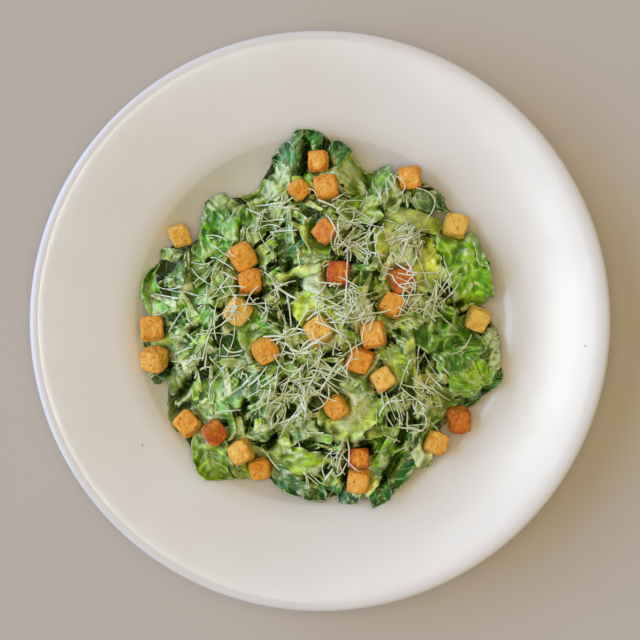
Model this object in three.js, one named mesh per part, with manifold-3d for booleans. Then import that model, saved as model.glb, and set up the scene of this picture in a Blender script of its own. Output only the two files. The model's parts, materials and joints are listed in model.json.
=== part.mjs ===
// Caesar salad on its wide-rimmed plate: dressed romaine, croutons and shredded hard cheese.
// Millimetres, +Z up. The origin is the middle of the plate's foot, on the surface that it stands on.
import * as THREE from 'three';
import { mergeVertices } from 'three/addons/utils/BufferGeometryUtils.js';
import Module from 'manifold-3d';

const wasm = await Module();
wasm.setup();

// ---- Driving dimensions: the plate ----
const PLATE_DIAMETER = 305;
const PLATE_HEIGHT = 36;
const WELL_DIAMETER = 204;
const WELL_EDGE_HEIGHT = 29.5;
const WELL_FLOOR_HEIGHT = 12;
const WELL_FLOOR_RADIUS = 62;
const FOOT_OUTER_RADIUS = 77;
const FOOT_WIDTH = 6;
const FOOT_RECESS = 4.5;
const WALL_THICKNESS = 5;
const LIP_WIDTH = 5;
const PLATE_SECTORS = 48;
const CURVE_STEPS = 3;

// ---- Driving dimensions: the heap of lettuce ----
const HEAP_PEAK_HEIGHT = 55;
const HEAP_RADIUS = 95;
const HEAP_EDGE_RISE = 4;
const HEAP_LUMP = 1.4;
const EDGE_CRUSH = 3;
const CRUSH_SHARE = 0.25;
const CORE_DEPTH = 4;
const CORE_INSET = 9;
const CORE_SECTORS = 28;
const CORE_RINGS = 5;
const CORE_BASE_HEIGHT = 8;
const CORE_SINK = 1;
const CORE_BASE_RADIUS = 60;

// Where the heap's outline draws in, or swells out with a negative depth: [degrees from +X, depth,
// spread in degrees]
const OUTLINE_HOLLOWS = [
  [0, 6, 6],
  [19, -3, 7],
  [40, 8, 8],
  [70, 11, 6],
  [93, -5, 8],
  [119, 20, 12],
  [142, 8, 10],
  [233, -7, 7],
  [250, 6, 9],
  [287, -6, 9],
  [326, 8, 8],
  [341, -6, 6],
];

// ---- Driving dimensions: leaves, cheese shreds and croutons ----
const LEAF_THICKNESS = 1.3;
const LEAF_CELL = 12;
const LEAF_REST = 1.4;
const FILLER_LEAVES = 80;
const FILLER_SPACING = 16;
const FILLER_SEED = 11;
const SHREDS = 44;
const SHRED_SEED = 5;
const SHRED_WIDTH = 1.1;
const SHRED_STEPS = 3;
const CROUTON_NESTLE = 1.2;
const CROUTON_SEED = 3;
const CLEARANCE = 0.3;
const PLATE_CLEARANCE = 0.8;

// Leaves that lie on top, by where they are in the salad.
// [x, y, length, width, heading of the tip in degrees, lift over the heap, rise from base to tip]
const TOP_LEAVES = {
  north_dark_curl: [-8, 90, 30, 24, 82, 0, 7],
  north_pale: [17, 78, 28, 20, 131, 1, 6],
  north_west_dark: [-19, 81, 26, 17, 110, -1, 7],
  north_small_dark: [10, 90, 22, 13, 60, -1, 7],
  north_spear: [31, 72, 26, 10, 80, 0, 8],
  north_east_curl: [63, 66, 27, 18, 20, 0, 8],
  north_east_stalk: [49, 53, 34, 13, -9, 2, 4],
  east_large_bright: [80, 28, 36, 27, 25, 1, 8],
  east_yellow: [58, 26, 22, 15, 100, 1, 7],
  centre_north_yellow: [33, 38, 28, 15, 100, 1, 7],
  north_bright: [20, 59, 26, 18, 10, 1, 7],
  north_west_corner: [-57, 61, 24, 18, 130, 0, 8],
  north_west_bright: [-56, 42, 34, 22, 60, 0, 7],
  west_curl: [-85, 17, 32, 14, 110, -1, 7],
  west_bright: [-66, 4, 34, 26, 80, 0, 7],
  west_pointed: [-68, -19, 26, 17, -100, 1, 6],
  south_west_dressed: [-54, -40, 34, 26, 30, 0, 7],
  south_west_rim: [-60, -72, 28, 17, -78, 0, 7],
  south_west_olive: [-47, -75, 22, 16, -62, -1, 6],
  south_ruffled: [-10, -75, 32, 24, -80, 1, 7],
  south_pale: [20, -48, 35, 25, 40, 2, 6],
  south_bright: [37, -66, 34, 17, 65, 0, 7],
  south_east_dark: [43, -75, 42, 15, 60, -1, 6],
  south_east_chip: [55, -73, 19, 11, -55, 0, 6],
  east_ribbed: [76, -29, 34, 25, -45, 1, 8],
  east_dark_tip: [82, -37, 26, 13, 40, -1, 7],
  east_pointed: [86, -13, 30, 20, 12, 1, 8],
  east_broad: [66, -9, 36, 28, -50, 0, 7],
  east_stalk_strip: [46, -20, 40, 7, 95, 1, 6],
  south_east_stalk: [57, -33, 17, 13, 10, 2, 5],
  south_east_olive: [62, -46, 22, 13, 20, 0, 7],
  centre_arm: [-8, 19, 30, 20, 160, 1, 7],
  centre_cup: [-1, 1, 34, 26, 120, 0, 7],
  centre_north_olive: [-4, 34, 22, 19, 70, 0, 7],
  centre_east_bright: [38, -20, 23, 11, -45, 1, 7],
  south_small_pale: [-3, -88, 24, 15, -80, -1, 7],
  south_small_dark: [13, -86, 22, 15, -70, -1, 7],
  south_edge_dark: [30, -88, 24, 16, -65, -1, 7],
  north_west_inner: [-36, 51, 30, 20, 40, 0, 7],
  north_west_olive: [-32, 65, 25, 18, 120, 0, 7],
  west_inner: [-36, -8, 30, 24, -30, 0, 7],
  south_west_inner: [-24, -40, 32, 24, 150, 0, 7],
};

// Croutons: [x, y, edge length, turn about the vertical in degrees, lean in degrees]
const CROUTONS = [
  [-1, 83, 10.5, 5, 8],
  [-11, 68, 9.8, 40, 14],
  [3, 69, 12.2, 8, 6],
  [47, 75, 11.6, 4, 10],
  [71, 50, 12.2, -12, 12],
  [-74, 45, 10.2, 20, 18],
  [3, 46, 11.4, 48, 15],
  [-40, 33, 12.4, 30, 10],
  [-36, 20, 11.6, 12, 12],
  [-42, 5, 12.6, 52, 14],
  [9, 24, 11.6, -4, 8],
  [42, 21, 12.2, 20, 12],
  [37, 8, 11.4, -28, 20],
  [83, 1, 11.4, -22, 14],
  [-88, -4, 12.2, 3, 20],
  [-87, -20, 12.2, -10, 24],
  [-1, -5, 12.2, 36, 12],
  [-28, -15, 11.8, 28, 14],
  [27, -7, 12.2, 12, 12],
  [20, -20, 12.2, -22, 8],
  [32, -30, 11.2, 34, 14],
  [8, -44, 10.8, 32, 10],
  [-70, -54, 11.8, 42, 16],
  [-55, -58, 10.8, 36, 22],
  [-41, -68, 11.0, 30, 14],
  [-32, -78, 10.2, 12, 12],
  [20, -71, 10.8, 2, 10],
  [20, -83, 11.6, -3, 12],
  [61, -64, 11.2, -24, 14],
  [73, -52, 11.6, 6, 20],
];

// Where the cheese lies thickest: [x, y, reach]. The other shreds are spread over the whole heap.
const CHEESE_DRIFTS = [
  [-12, -36, 28],
  [40, 36, 24],
  [22, 18, 22],
  [62, 22, 26],
  [44, -44, 20],
  [-62, 10, 34],
  [-38, 48, 24],
];

// ---- Helpers ----
const radians = THREE.MathUtils.degToRad;

// A repeatable run of numbers from 0 to 1.
function seededRandom(seed) {
  let state = seed >>> 0;
  return () => {
    state = (Math.imul(1664525, state) + 1013904223) >>> 0;
    return state / 4294967296;
  };
}

// A closed solid for joining and cutting, from a geometry.
function solidFrom(geometry) {
  const bare = geometry.clone();
  bare.deleteAttribute('normal');
  bare.deleteAttribute('uv');
  const merged = mergeVertices(bare, 1e-4);
  return new wasm.Manifold(new wasm.Mesh({
    numProp: 3,
    vertProperties: new Float32Array(merged.attributes.position.array),
    triVerts: new Uint32Array(merged.index.array),
  }));
}

function geometryFrom(points, triangles) {
  const geometry = new THREE.BufferGeometry();
  geometry.setAttribute('position', new THREE.Float32BufferAttribute(points, 3));
  geometry.setIndex(triangles);
  geometry.computeVertexNormals();
  return geometry;
}

// Two layers of a grid, split into triangles alike and joined round the edge.
function slabGeometry(rows, columns, upper, lower) {
  const points = [...upper, ...lower].flatMap((point) => [point.x, point.y, point.z]);
  const layer = rows * columns;
  const triangles = [];
  for (let row = 0; row < rows - 1; row += 1) {
    for (let column = 0; column < columns - 1; column += 1) {
      const near = row * columns + column;
      const far = near + columns;
      triangles.push(near, far, far + 1, near, far + 1, near + 1);
      triangles.push(...[near, far + 1, far, near, near + 1, far + 1].map((corner) => layer + corner));
    }
  }
  const edge = [];
  for (let column = 0; column < columns - 1; column += 1) edge.push(column);
  for (let row = 0; row < rows - 1; row += 1) edge.push(row * columns + columns - 1);
  for (let column = columns - 1; column > 0; column -= 1) edge.push((rows - 1) * columns + column);
  for (let row = rows - 1; row > 0; row -= 1) edge.push(row * columns);
  edge.forEach((start, index) => {
    const end = edge[(index + 1) % edge.length];
    triangles.push(start, end, layer + end, start, layer + end, layer + start);
  });
  return geometryFrom(points, triangles);
}

// ---- The plate ----
// Half of the plate's section, from the axis under the foot, round the lip and back to the axis.
function plateProfile() {
  const lip = PLATE_DIAMETER / 2;
  const well = WELL_DIAMETER / 2;
  const section = new THREE.Path();
  section.moveTo(0, FOOT_RECESS);
  section.lineTo(FOOT_OUTER_RADIUS - FOOT_WIDTH - 1, FOOT_RECESS);
  section.lineTo(FOOT_OUTER_RADIUS - FOOT_WIDTH, 0);
  section.lineTo(FOOT_OUTER_RADIUS, 0);
  section.lineTo(FOOT_OUTER_RADIUS + 1, FOOT_RECESS + 1);
  section.bezierCurveTo(well - 14, 12, well - 4, 19.5, well + 6, WELL_EDGE_HEIGHT - WALL_THICKNESS);
  section.lineTo(lip - LIP_WIDTH, PLATE_HEIGHT - WALL_THICKNESS);
  section.quadraticCurveTo(lip, PLATE_HEIGHT - 4.6, lip, PLATE_HEIGHT - 2.4);
  section.quadraticCurveTo(lip, PLATE_HEIGHT, lip - 2.4, PLATE_HEIGHT);
  section.lineTo(lip - LIP_WIDTH, PLATE_HEIGHT - 1.2);
  section.lineTo(well + 5, WELL_EDGE_HEIGHT);
  section.quadraticCurveTo(well, WELL_EDGE_HEIGHT - 0.3, well - 4, WELL_EDGE_HEIGHT - 3.5);
  section.bezierCurveTo(well - 9.5, 21.5, well - 18, WELL_FLOOR_HEIGHT + 1.2, WELL_FLOOR_RADIUS, WELL_FLOOR_HEIGHT);
  section.lineTo(0, WELL_FLOOR_HEIGHT);
  return section.getPoints(CURVE_STEPS);
}

// The same section, with its surface moved outwards by `distance`.
function grownProfile(profile, distance) {
  return profile.map((point, index) => {
    if (point.x < 1e-6) return new THREE.Vector2(0, point.y + (index === 0 ? -distance : distance));
    const along = profile[index + 1].clone().sub(profile[index - 1]).normalize();
    return new THREE.Vector2(point.x + along.y * distance, point.y - along.x * distance);
  });
}

const plateSection = plateProfile();
const turned = (profile) => new THREE.LatheGeometry(profile, PLATE_SECTORS).rotateX(Math.PI / 2);

// Height of the plate's upper surface at a distance from its middle.
const upperSection = plateSection.slice(plateSection.findIndex((point) => point.y === PLATE_HEIGHT)).reverse();
function plateTop(distance) {
  const next = upperSection.findIndex((point) => point.x >= distance);
  if (next < 0) return PLATE_HEIGHT;
  if (next === 0) return WELL_FLOOR_HEIGHT;
  const inner = upperSection[next - 1];
  const outer = upperSection[next];
  return THREE.MathUtils.lerp(inner.y, outer.y, (distance - inner.x) / (outer.x - inner.x));
}

// ---- The heap's form ----
function heapRadius(angle) {
  const hollow = ([at, depth, spread]) => {
    const away = THREE.MathUtils.euclideanModulo(THREE.MathUtils.radToDeg(angle) - at + 180, 360) - 180;
    return depth * Math.exp(-((away / spread) ** 2));
  };
  return HEAP_RADIUS - OUTLINE_HOLLOWS.reduce((total, each) => total + hollow(each), 0);
}

// Height of the top of the heap, which past the heap's edge is just over the plate.
function heapTop(x, y) {
  const distance = Math.hypot(x, y);
  const reach = heapRadius(Math.atan2(y, x));
  const edge = plateTop(reach) + HEAP_EDGE_RISE;
  const lumps = HEAP_LUMP * (Math.sin(x / 8.5 + 0.6) * Math.cos(y / 10 - 0.4) + Math.sin((x + y) / 15));
  const dome = edge + (HEAP_PEAK_HEIGHT - edge) * (1 - (distance / reach) ** 2) + lumps;
  return Math.max(dome, plateTop(distance) + LEAF_REST);
}

// A place in the heap, drawn in where it would reach past the heap's outline.
function drawnIn(x, y) {
  const distance = Math.hypot(x, y);
  const reach = heapRadius(Math.atan2(y, x)) - EDGE_CRUSH;
  const scale = distance > reach ? (reach + (distance - reach) * CRUSH_SHARE) / distance : 1;
  return [x * scale, y * scale];
}

const coreTop = (x, y) => heapTop(x, y) - CORE_DEPTH;

// The core of the heap: a lumpy dome with a skirt that goes down into the well.
function coreGeometry() {
  const points = [0, 0, coreTop(0, 0)];
  for (let ring = 1; ring <= CORE_RINGS + 2; ring += 1) {
    for (let sector = 0; sector < CORE_SECTORS; sector += 1) {
      const angle = (sector / CORE_SECTORS) * 2 * Math.PI;
      const edge = heapRadius(angle) - CORE_INSET;
      let distance = edge * Math.min(ring / CORE_RINGS, 1);
      let height = coreTop(Math.cos(angle) * distance, Math.sin(angle) * distance);
      if (ring === CORE_RINGS + 1) height = Math.min(height, plateTop(distance)) - CORE_SINK;
      if (ring === CORE_RINGS + 2) {
        distance = CORE_BASE_RADIUS;
        height = CORE_BASE_HEIGHT;
      }
      points.push(Math.cos(angle) * distance, Math.sin(angle) * distance, height);
    }
  }
  points.push(0, 0, CORE_BASE_HEIGHT);
  const triangles = [];
  const at = (ring, sector) => 1 + (ring - 1) * CORE_SECTORS + (sector % CORE_SECTORS);
  const bottom = points.length / 3 - 1;
  for (let sector = 0; sector < CORE_SECTORS; sector += 1) {
    triangles.push(0, at(1, sector), at(1, sector + 1));
    for (let ring = 1; ring < CORE_RINGS + 2; ring += 1) {
      triangles.push(at(ring, sector), at(ring + 1, sector), at(ring + 1, sector + 1));
      triangles.push(at(ring, sector), at(ring + 1, sector + 1), at(ring, sector + 1));
    }
    triangles.push(bottom, at(CORE_RINGS + 2, sector + 1), at(CORE_RINGS + 2, sector));
  }
  return geometryFrom(points, triangles);
}

// ---- Leaves and shreds ----
// A thin wavy leaf: draped over the heap, cupped across, ruffled along its sides, its base pushed
// down into the heap and its tip lifted.
function leafGeometry([x, y, length, width, heading, lift, rise], wave) {
  const rows = Math.max(3, Math.round(length / LEAF_CELL)) + 1;
  const columns = Math.max(2, Math.round(width / LEAF_CELL)) + 1;
  const turn = radians(heading);
  const middle = [];
  for (let row = 0; row < rows; row += 1) {
    for (let column = 0; column < columns; column += 1) {
      const along = (2 * row) / (rows - 1) - 1;
      const across = (2 * column) / (columns - 1) - 1;
      const taper = 1 - 0.32 * along * along - 0.1 * along;
      const a = (length / 2) * along * (1 - 0.12 * across * across);
      const b = (width / 2) * across * taper;
      const [px, py] = drawnIn(
        x + Math.cos(turn) * a - Math.sin(turn) * b,
        y + Math.sin(turn) * a + Math.cos(turn) * b,
      );
      const cup = 2.2 * across * across * Math.cos(wave * 5);
      const ruffle = 1.5 * Math.abs(across) * Math.sin(along * 4 + wave * 6.3 + across);
      const pz = heapTop(px, py) + lift + (rise / 2) * along + cup + ruffle;
      middle.push(new THREE.Vector3(px, py, pz));
    }
  }
  const at = (row, column) => middle[
    Math.min(Math.max(row, 0), rows - 1) * columns + Math.min(Math.max(column, 0), columns - 1)];
  const half = middle.map((point, index) => {
    const row = Math.floor(index / columns);
    const column = index % columns;
    const lengthwise = at(row + 1, column).clone().sub(at(row - 1, column));
    const crosswise = at(row, column + 1).clone().sub(at(row, column - 1));
    return lengthwise.cross(crosswise).normalize().multiplyScalar(LEAF_THICKNESS / 2);
  });
  const upper = middle.map((point, index) => point.clone().add(half[index]));
  const lower = middle.map((point, index) => point.clone().sub(half[index]));
  return slabGeometry(rows, columns, upper, lower);
}

// Smaller leaves for the gaps between the others: places on an even spiral, each kept only where no
// other leaf is near.
function fillerLeaves() {
  const random = seededRandom(FILLER_SEED);
  const goldenTurn = Math.PI * (3 - Math.sqrt(5));
  const taken = Object.values(TOP_LEAVES).map(([x, y]) => [x, y]);
  const leaves = [];
  for (let index = 0; index < FILLER_LEAVES; index += 1) {
    const angle = index * goldenTurn;
    const distance = (heapRadius(angle) - 7) * Math.sqrt((index + 0.5) / FILLER_LEAVES);
    const x = Math.cos(angle) * distance;
    const y = Math.sin(angle) * distance;
    if (taken.some(([otherX, otherY]) => Math.hypot(x - otherX, y - otherY) < FILLER_SPACING)) continue;
    taken.push([x, y]);
    const length = 19 + 10 * random();
    const width = length * (0.55 + 0.25 * random());
    leaves.push([x, y, length, width, 360 * random(), -1.5 + 1.5 * random(), 7 + 3 * random()]);
  }
  return leaves;
}

// A shred of cheese: a bent strip of square section that lies across the leaves.
function shredGeometry(x, y, length, heading, bend) {
  const half = SHRED_WIDTH / 2;
  const upper = [];
  const lower = [];
  for (let step = 0; step <= SHRED_STEPS; step += 1) {
    const along = step / SHRED_STEPS - 0.5;
    const turn = heading + bend * along;
    const px = x + Math.cos(heading) * length * along - Math.sin(heading) * bend * length * along * along * 0.5;
    const py = y + Math.sin(heading) * length * along + Math.cos(heading) * bend * length * along * along * 0.5;
    const pz = heapTop(px, py) + 0.6;
    for (const side of [-half, half]) {
      const sx = px - Math.sin(turn) * side;
      const sy = py + Math.cos(turn) * side;
      upper.push(new THREE.Vector3(sx, sy, pz + half));
      lower.push(new THREE.Vector3(sx, sy, pz - half));
    }
  }
  return slabGeometry(SHRED_STEPS + 1, 2, upper, lower);
}

function shredSolids() {
  const random = seededRandom(SHRED_SEED);
  return Array.from({ length: SHREDS }, (_, index) => {
    const [driftX, driftY, driftReach] = CHEESE_DRIFTS[index % CHEESE_DRIFTS.length];
    const angle = 2 * Math.PI * random();
    const spread = Math.sqrt(random());
    const inDrift = index % 4 !== 0;
    const reach = inDrift ? driftReach : heapRadius(angle) - 12;
    const x = (inDrift ? driftX : 0) + Math.cos(angle) * spread * reach;
    const y = (inDrift ? driftY : 0) + Math.sin(angle) * spread * reach;
    return solidFrom(shredGeometry(x, y, 10 + 12 * random(), Math.PI * random(), 1.6 * random() - 0.8));
  });
}

// ---- Croutons ----
// An uneven toasted cube with rounded edges and slightly hollow faces, grown by `growth` all round.
function croutonGeometry([, , size, turn, lean], index, growth) {
  const random = seededRandom(CROUTON_SEED + 7 * index);
  const geometry = new THREE.BoxGeometry(2, 2, 2, 2, 2, 2);
  const sides = [0.94 + 0.12 * random(), 0.94 + 0.12 * random(), 0.88 + 0.1 * random()];
  const skew = 0.12 * (random() - 0.5);
  const position = geometry.attributes.position;
  for (let vertex = 0; vertex < position.count; vertex += 1) {
    const corner = new THREE.Vector3().fromBufferAttribute(position, vertex);
    const edges = Math.abs(corner.x) + Math.abs(corner.y) + Math.abs(corner.z);
    const inset = edges > 2.5 ? 0.86 : edges > 1.5 ? 0.95 : 0.98;
    corner.multiplyScalar(inset);
    corner.x += skew * corner.y;
    position.setXYZ(vertex, corner.x * sides[0], corner.y * sides[1], corner.z * sides[2]);
  }
  const half = size / 2 + growth;
  geometry.scale(half, half, half);
  geometry.rotateX(radians(lean) * (index % 2 ? 1 : -0.6));
  geometry.rotateY(radians(lean) * (index % 3 ? 0.5 : -0.8));
  geometry.rotateZ(radians(turn));
  return geometry;
}

// How high a crouton lies when it is set down on the bare core and the plate.
function restingHeight([x, y], geometry) {
  const position = geometry.attributes.position;
  let height = 0;
  for (let vertex = 0; vertex < position.count; vertex += 1) {
    const px = x + position.getX(vertex);
    const py = y + position.getY(vertex);
    const onPlate = plateTop(Math.hypot(px, py)) + PLATE_CLEARANCE;
    const onCore = coreTop(px, py) - CROUTON_NESTLE;
    height = Math.max(height, Math.max(onPlate, onCore) - position.getZ(vertex));
  }
  return height;
}

const croutons = CROUTONS.map((row, index) => {
  const geometry = croutonGeometry(row, index, 0);
  const place = new THREE.Vector3(row[0], row[1], restingHeight(row, geometry));
  const cutter = croutonGeometry(row, index, CLEARANCE).translate(place.x, place.y, place.z);
  return { geometry, place, cutter };
});

// ---- The heap as one solid ----
// The largest closed piece of a solid's surface: loose scraps and sealed hollows are left out.
function largestPiece(mesh) {
  const owner = Array.from({ length: mesh.numVert }, (_, vertex) => vertex);
  const find = (vertex) => {
    let root = vertex;
    while (owner[root] !== root) root = owner[root];
    while (owner[vertex] !== root) [owner[vertex], vertex] = [root, owner[vertex]];
    return root;
  };
  const corner = (triangle, side) => mesh.triVerts[3 * triangle + side];
  for (let triangle = 0; triangle < mesh.numTri; triangle += 1) {
    owner[find(corner(triangle, 0))] = find(corner(triangle, 1));
    owner[find(corner(triangle, 1))] = find(corner(triangle, 2));
  }
  const counts = new Map();
  for (let triangle = 0; triangle < mesh.numTri; triangle += 1) {
    const root = find(corner(triangle, 0));
    counts.set(root, (counts.get(root) ?? 0) + 1);
  }
  const largest = [...counts].sort((one, other) => other[1] - one[1])[0][0];
  const triangles = [];
  for (let triangle = 0; triangle < mesh.numTri; triangle += 1) {
    if (find(corner(triangle, 0)) !== largest) continue;
    triangles.push(corner(triangle, 0), corner(triangle, 1), corner(triangle, 2));
  }
  const points = [];
  for (let vertex = 0; vertex < mesh.numVert; vertex += 1) {
    points.push(...mesh.vertProperties.subarray(vertex * mesh.numProp, vertex * mesh.numProp + 3));
  }
  return geometryFrom(points, triangles);
}

function lettuceGeometry() {
  let heap = solidFrom(coreGeometry());
  const waves = seededRandom(FILLER_SEED + 1);
  for (const leaf of [...Object.values(TOP_LEAVES), ...fillerLeaves()]) {
    heap = heap.add(solidFrom(leafGeometry(leaf, waves())));
  }
  for (const shred of shredSolids()) heap = heap.add(shred);
  for (const { cutter } of croutons) heap = heap.subtract(solidFrom(cutter));
  heap = heap.subtract(solidFrom(turned(grownProfile(plateSection, CLEARANCE))));
  return largestPiece(heap.getMesh());
}

// ---- Materials and the finished group ----
const glaze = new THREE.MeshStandardMaterial({ color: 0xd9d4c8, roughness: 0.25, metalness: 0 });
const romaine = new THREE.MeshStandardMaterial({ color: 0x6f9a3c, roughness: 0.5, metalness: 0 });
const toast = new THREE.MeshStandardMaterial({ color: 0xcf9440, roughness: 0.8, metalness: 0 });

const salad = new THREE.Group();

const plate = new THREE.Mesh(turned(plateSection), glaze);
plate.name = 'plate';
salad.add(plate);

const lettuce = new THREE.Mesh(lettuceGeometry(), romaine);
lettuce.name = 'lettuce';
salad.add(lettuce);

croutons.forEach(({ geometry, place }, index) => {
  const crouton = new THREE.Mesh(geometry, toast);
  crouton.name = `crouton_${String(index + 1).padStart(2, '0')}`;
  crouton.position.copy(place);
  salad.add(crouton);
});

export default salad;
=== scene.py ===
"""A caesar salad on its wide-rimmed plate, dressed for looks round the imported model. Metres, +Z up."""

import json
import math
from collections import namedtuple

import bmesh
import bpy
import numpy as np
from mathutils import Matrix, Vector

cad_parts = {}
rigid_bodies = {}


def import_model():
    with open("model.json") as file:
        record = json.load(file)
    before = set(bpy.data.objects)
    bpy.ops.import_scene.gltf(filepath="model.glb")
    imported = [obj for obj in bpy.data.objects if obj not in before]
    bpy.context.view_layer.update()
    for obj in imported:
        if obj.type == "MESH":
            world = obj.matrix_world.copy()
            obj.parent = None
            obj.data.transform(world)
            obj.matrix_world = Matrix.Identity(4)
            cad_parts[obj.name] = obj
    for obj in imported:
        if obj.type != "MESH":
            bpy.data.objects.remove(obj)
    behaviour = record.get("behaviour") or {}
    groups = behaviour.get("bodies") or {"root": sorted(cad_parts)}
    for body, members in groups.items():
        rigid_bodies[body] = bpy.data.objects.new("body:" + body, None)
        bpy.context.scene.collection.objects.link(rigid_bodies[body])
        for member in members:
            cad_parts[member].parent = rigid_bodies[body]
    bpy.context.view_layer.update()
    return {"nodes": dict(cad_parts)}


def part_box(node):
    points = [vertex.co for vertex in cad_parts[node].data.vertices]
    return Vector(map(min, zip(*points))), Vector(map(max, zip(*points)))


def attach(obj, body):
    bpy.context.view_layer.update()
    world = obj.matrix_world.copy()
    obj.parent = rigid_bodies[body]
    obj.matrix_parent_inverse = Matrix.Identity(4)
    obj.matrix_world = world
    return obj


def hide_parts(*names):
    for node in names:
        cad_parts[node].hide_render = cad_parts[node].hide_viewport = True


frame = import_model()

bl_info = {
    "name": "Caesar Salad",
    "version": (1, 0, 0),
    "blender": (4, 5, 0),
    "location": "3D View > Sidebar > Salad",
    "description": "Romaine, croutons and shredded cheese on a wide-rimmed plate",
    "category": "Add Mesh",
}

MM = 0.001
BODY = "root"


def srgb(red, green, blue):
    """A colour of 0 to 255 as displayed, as the linear values that shaders use."""
    parts = np.array([red, green, blue]) / 255.0
    return tuple(np.where(parts <= 0.04045, parts / 12.92, ((parts + 0.055) / 1.055) ** 2.4))


# ---- Sizes of the plate, in millimetres, round the frame's own plate ----
PLATE_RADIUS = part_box("plate")[1].x / MM
PLATE_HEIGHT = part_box("plate")[1].z / MM
WELL_RADIUS = 102.0
WELL_EDGE_HEIGHT = 29.5
WELL_ROUNDING = 7.0
WELL_WALL_INSET = 4.0
WELL_WALL_DROP = 3.5
WELL_FLOOR_HEIGHT = 12.0
WELL_FLOOR_RADIUS = 62.0
FOOT_OUTER_RADIUS = 77.0
FOOT_WIDTH = 6.0
FOOT_RECESS = 4.5
FOOT_ROUNDING = 0.6
WALL_THICKNESS = 5.0
LIP_WIDTH = 5.0
LIP_EDGE_DROP = 3.2
LIP_SHOULDER_DROP = 0.75

# ---- The form of the heap, in millimetres ----
HEAP_PEAK_HEIGHT = 55.0
HEAP_RADIUS = 95.0
HEAP_EDGE_RISE = 4.0
HEAP_LUMP = 1.4
HEAP_LUMP_SPANS = (8.5, 10.0, 15.0)
EDGE_CRUSH = 0.5
CRUSH_SHARE = 0.25
LEAF_REST = 1.4
CORE_DEPTH = 12.0
CORE_INSET = 10.0
CORE_BUMP = 1.2
CORE_BUMP_SPAN = 5.0
CORE_FLOOR_RADIUS = 58.0
CORE_CLEARANCE = 0.5
CORE_RINGS = 34
CORE_SECTORS = 120

# Where the heap's outline draws in, or swells out with a negative depth: (degrees from +X, depth,
# spread in degrees).
OUTLINE_HOLLOWS = (
    (2, 6, 5), (19, -1.5, 7), (40, 8, 8), (73, 13, 7), (95, -6, 8), (118, 20, 11),
    (142, 8, 10), (161, 5, 4), (233, -7, 7), (250, 6, 9), (287, -6, 9), (326, 8, 8), (341, -6, 6),
)

# Deep gaps between the leaves: (x, y, length, width, heading in degrees).
CREVICES = (
    (37, -77, 20, 5, 55), (14, -74, 26, 4, 85), (-8, 84, 20, 5, 86), (-16, 17.5, 14, 7, 48),
    (44, -57, 22, 4.5, 69), (-71, -35, 19, 5, 56), (-17, 4, 11, 6, 82), (-32, 13, 12, 5, 29),
    (-4, -83, 10, 4, 166), (3, 86, 13, 4, 117), (-80, -25, 8, 4, 62), (-16, 28, 8, 3.5, 78),
    (3, -78, 8, 4, 55), (-39, -44, 8, 3.5, 77), (-73, -46, 8, 3.5, 49), (34, -10, 7, 4, 98),
    (54, -21, 10, 3, 56), (5, -69, 9, 3.5, 151), (-26, -64, 8, 3.5, 52), (13, 31, 9, 3.5, 172),
    (24, -65, 9, 4, 143), (73, 9, 6, 4, 16), (-19, -33, 10, 4, 70), (-15, -46, 8, 4, 60),
)
CREVICE_DEPTH = 13.0

# ---- Colours of the leaves: beside the rib and at the base, then out at the edge ----
LEAF_COLOURS = {
    "dark": (srgb(50, 116, 54), srgb(18, 74, 36)),
    "green": (srgb(112, 168, 66), srgb(64, 126, 36)),
    "bright": (srgb(158, 210, 78), srgb(96, 170, 42)),
    "lime": (srgb(186, 206, 108), srgb(132, 174, 64)),
    "fresh": (srgb(172, 196, 98), srgb(118, 154, 56)),
    "olive": (srgb(162, 184, 88), srgb(108, 144, 52)),
    "pale": (srgb(214, 226, 158), srgb(168, 198, 98)),
    "yellow": (srgb(222, 226, 130), srgb(178, 194, 76)),
    "cream": (srgb(222, 226, 186), srgb(190, 204, 148)),
    "dressed": (srgb(160, 186, 118), srgb(100, 148, 70)),
    "stalk": (srgb(206, 216, 140), srgb(158, 182, 88)),
    "beige": (srgb(196, 192, 124), srgb(162, 158, 86)),
}
RIB_COLOUR = srgb(214, 216, 168)
UNDERSIDE_COLOUR = srgb(150, 172, 118)
# A leaf's edge: the pale colour of the cut, and partly a painted highlight where the edge catches the
# light.
EDGE_CUT_AND_HIGHLIGHT_COLOUR = srgb(206, 220, 166)
# Painted highlight on the crests of a leaf's crinkles, weaker on dark leaves; the same colour paints the
# pale ribs that fan out, and leaves paler under the cheese.
CREST_HIGHLIGHT_AND_PALENESS_COLOUR = srgb(192, 222, 128)
CREST_PAINTED_HIGHLIGHT = 0.45
DARK_CREST_PAINTED_HIGHLIGHT = 0.15

# A leaf: its middle, size, heading of the tip in degrees, lift over the heap and rise from base to
# tip, all in millimetres, then colour, curl of the sides in radians, strength of the midrib, how
# dressed it is, how far out one side folds over, from -1 to 1, or 0 for no fold, how much the leaf
# narrows towards its tip, and how many ribs to the radian fan out from its base, or 0 for side veins.
Leaf = namedtuple(
    "Leaf", "x y length width heading lift rise colour curl rib dressing fold taper fan", defaults=(0, 0))

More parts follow.
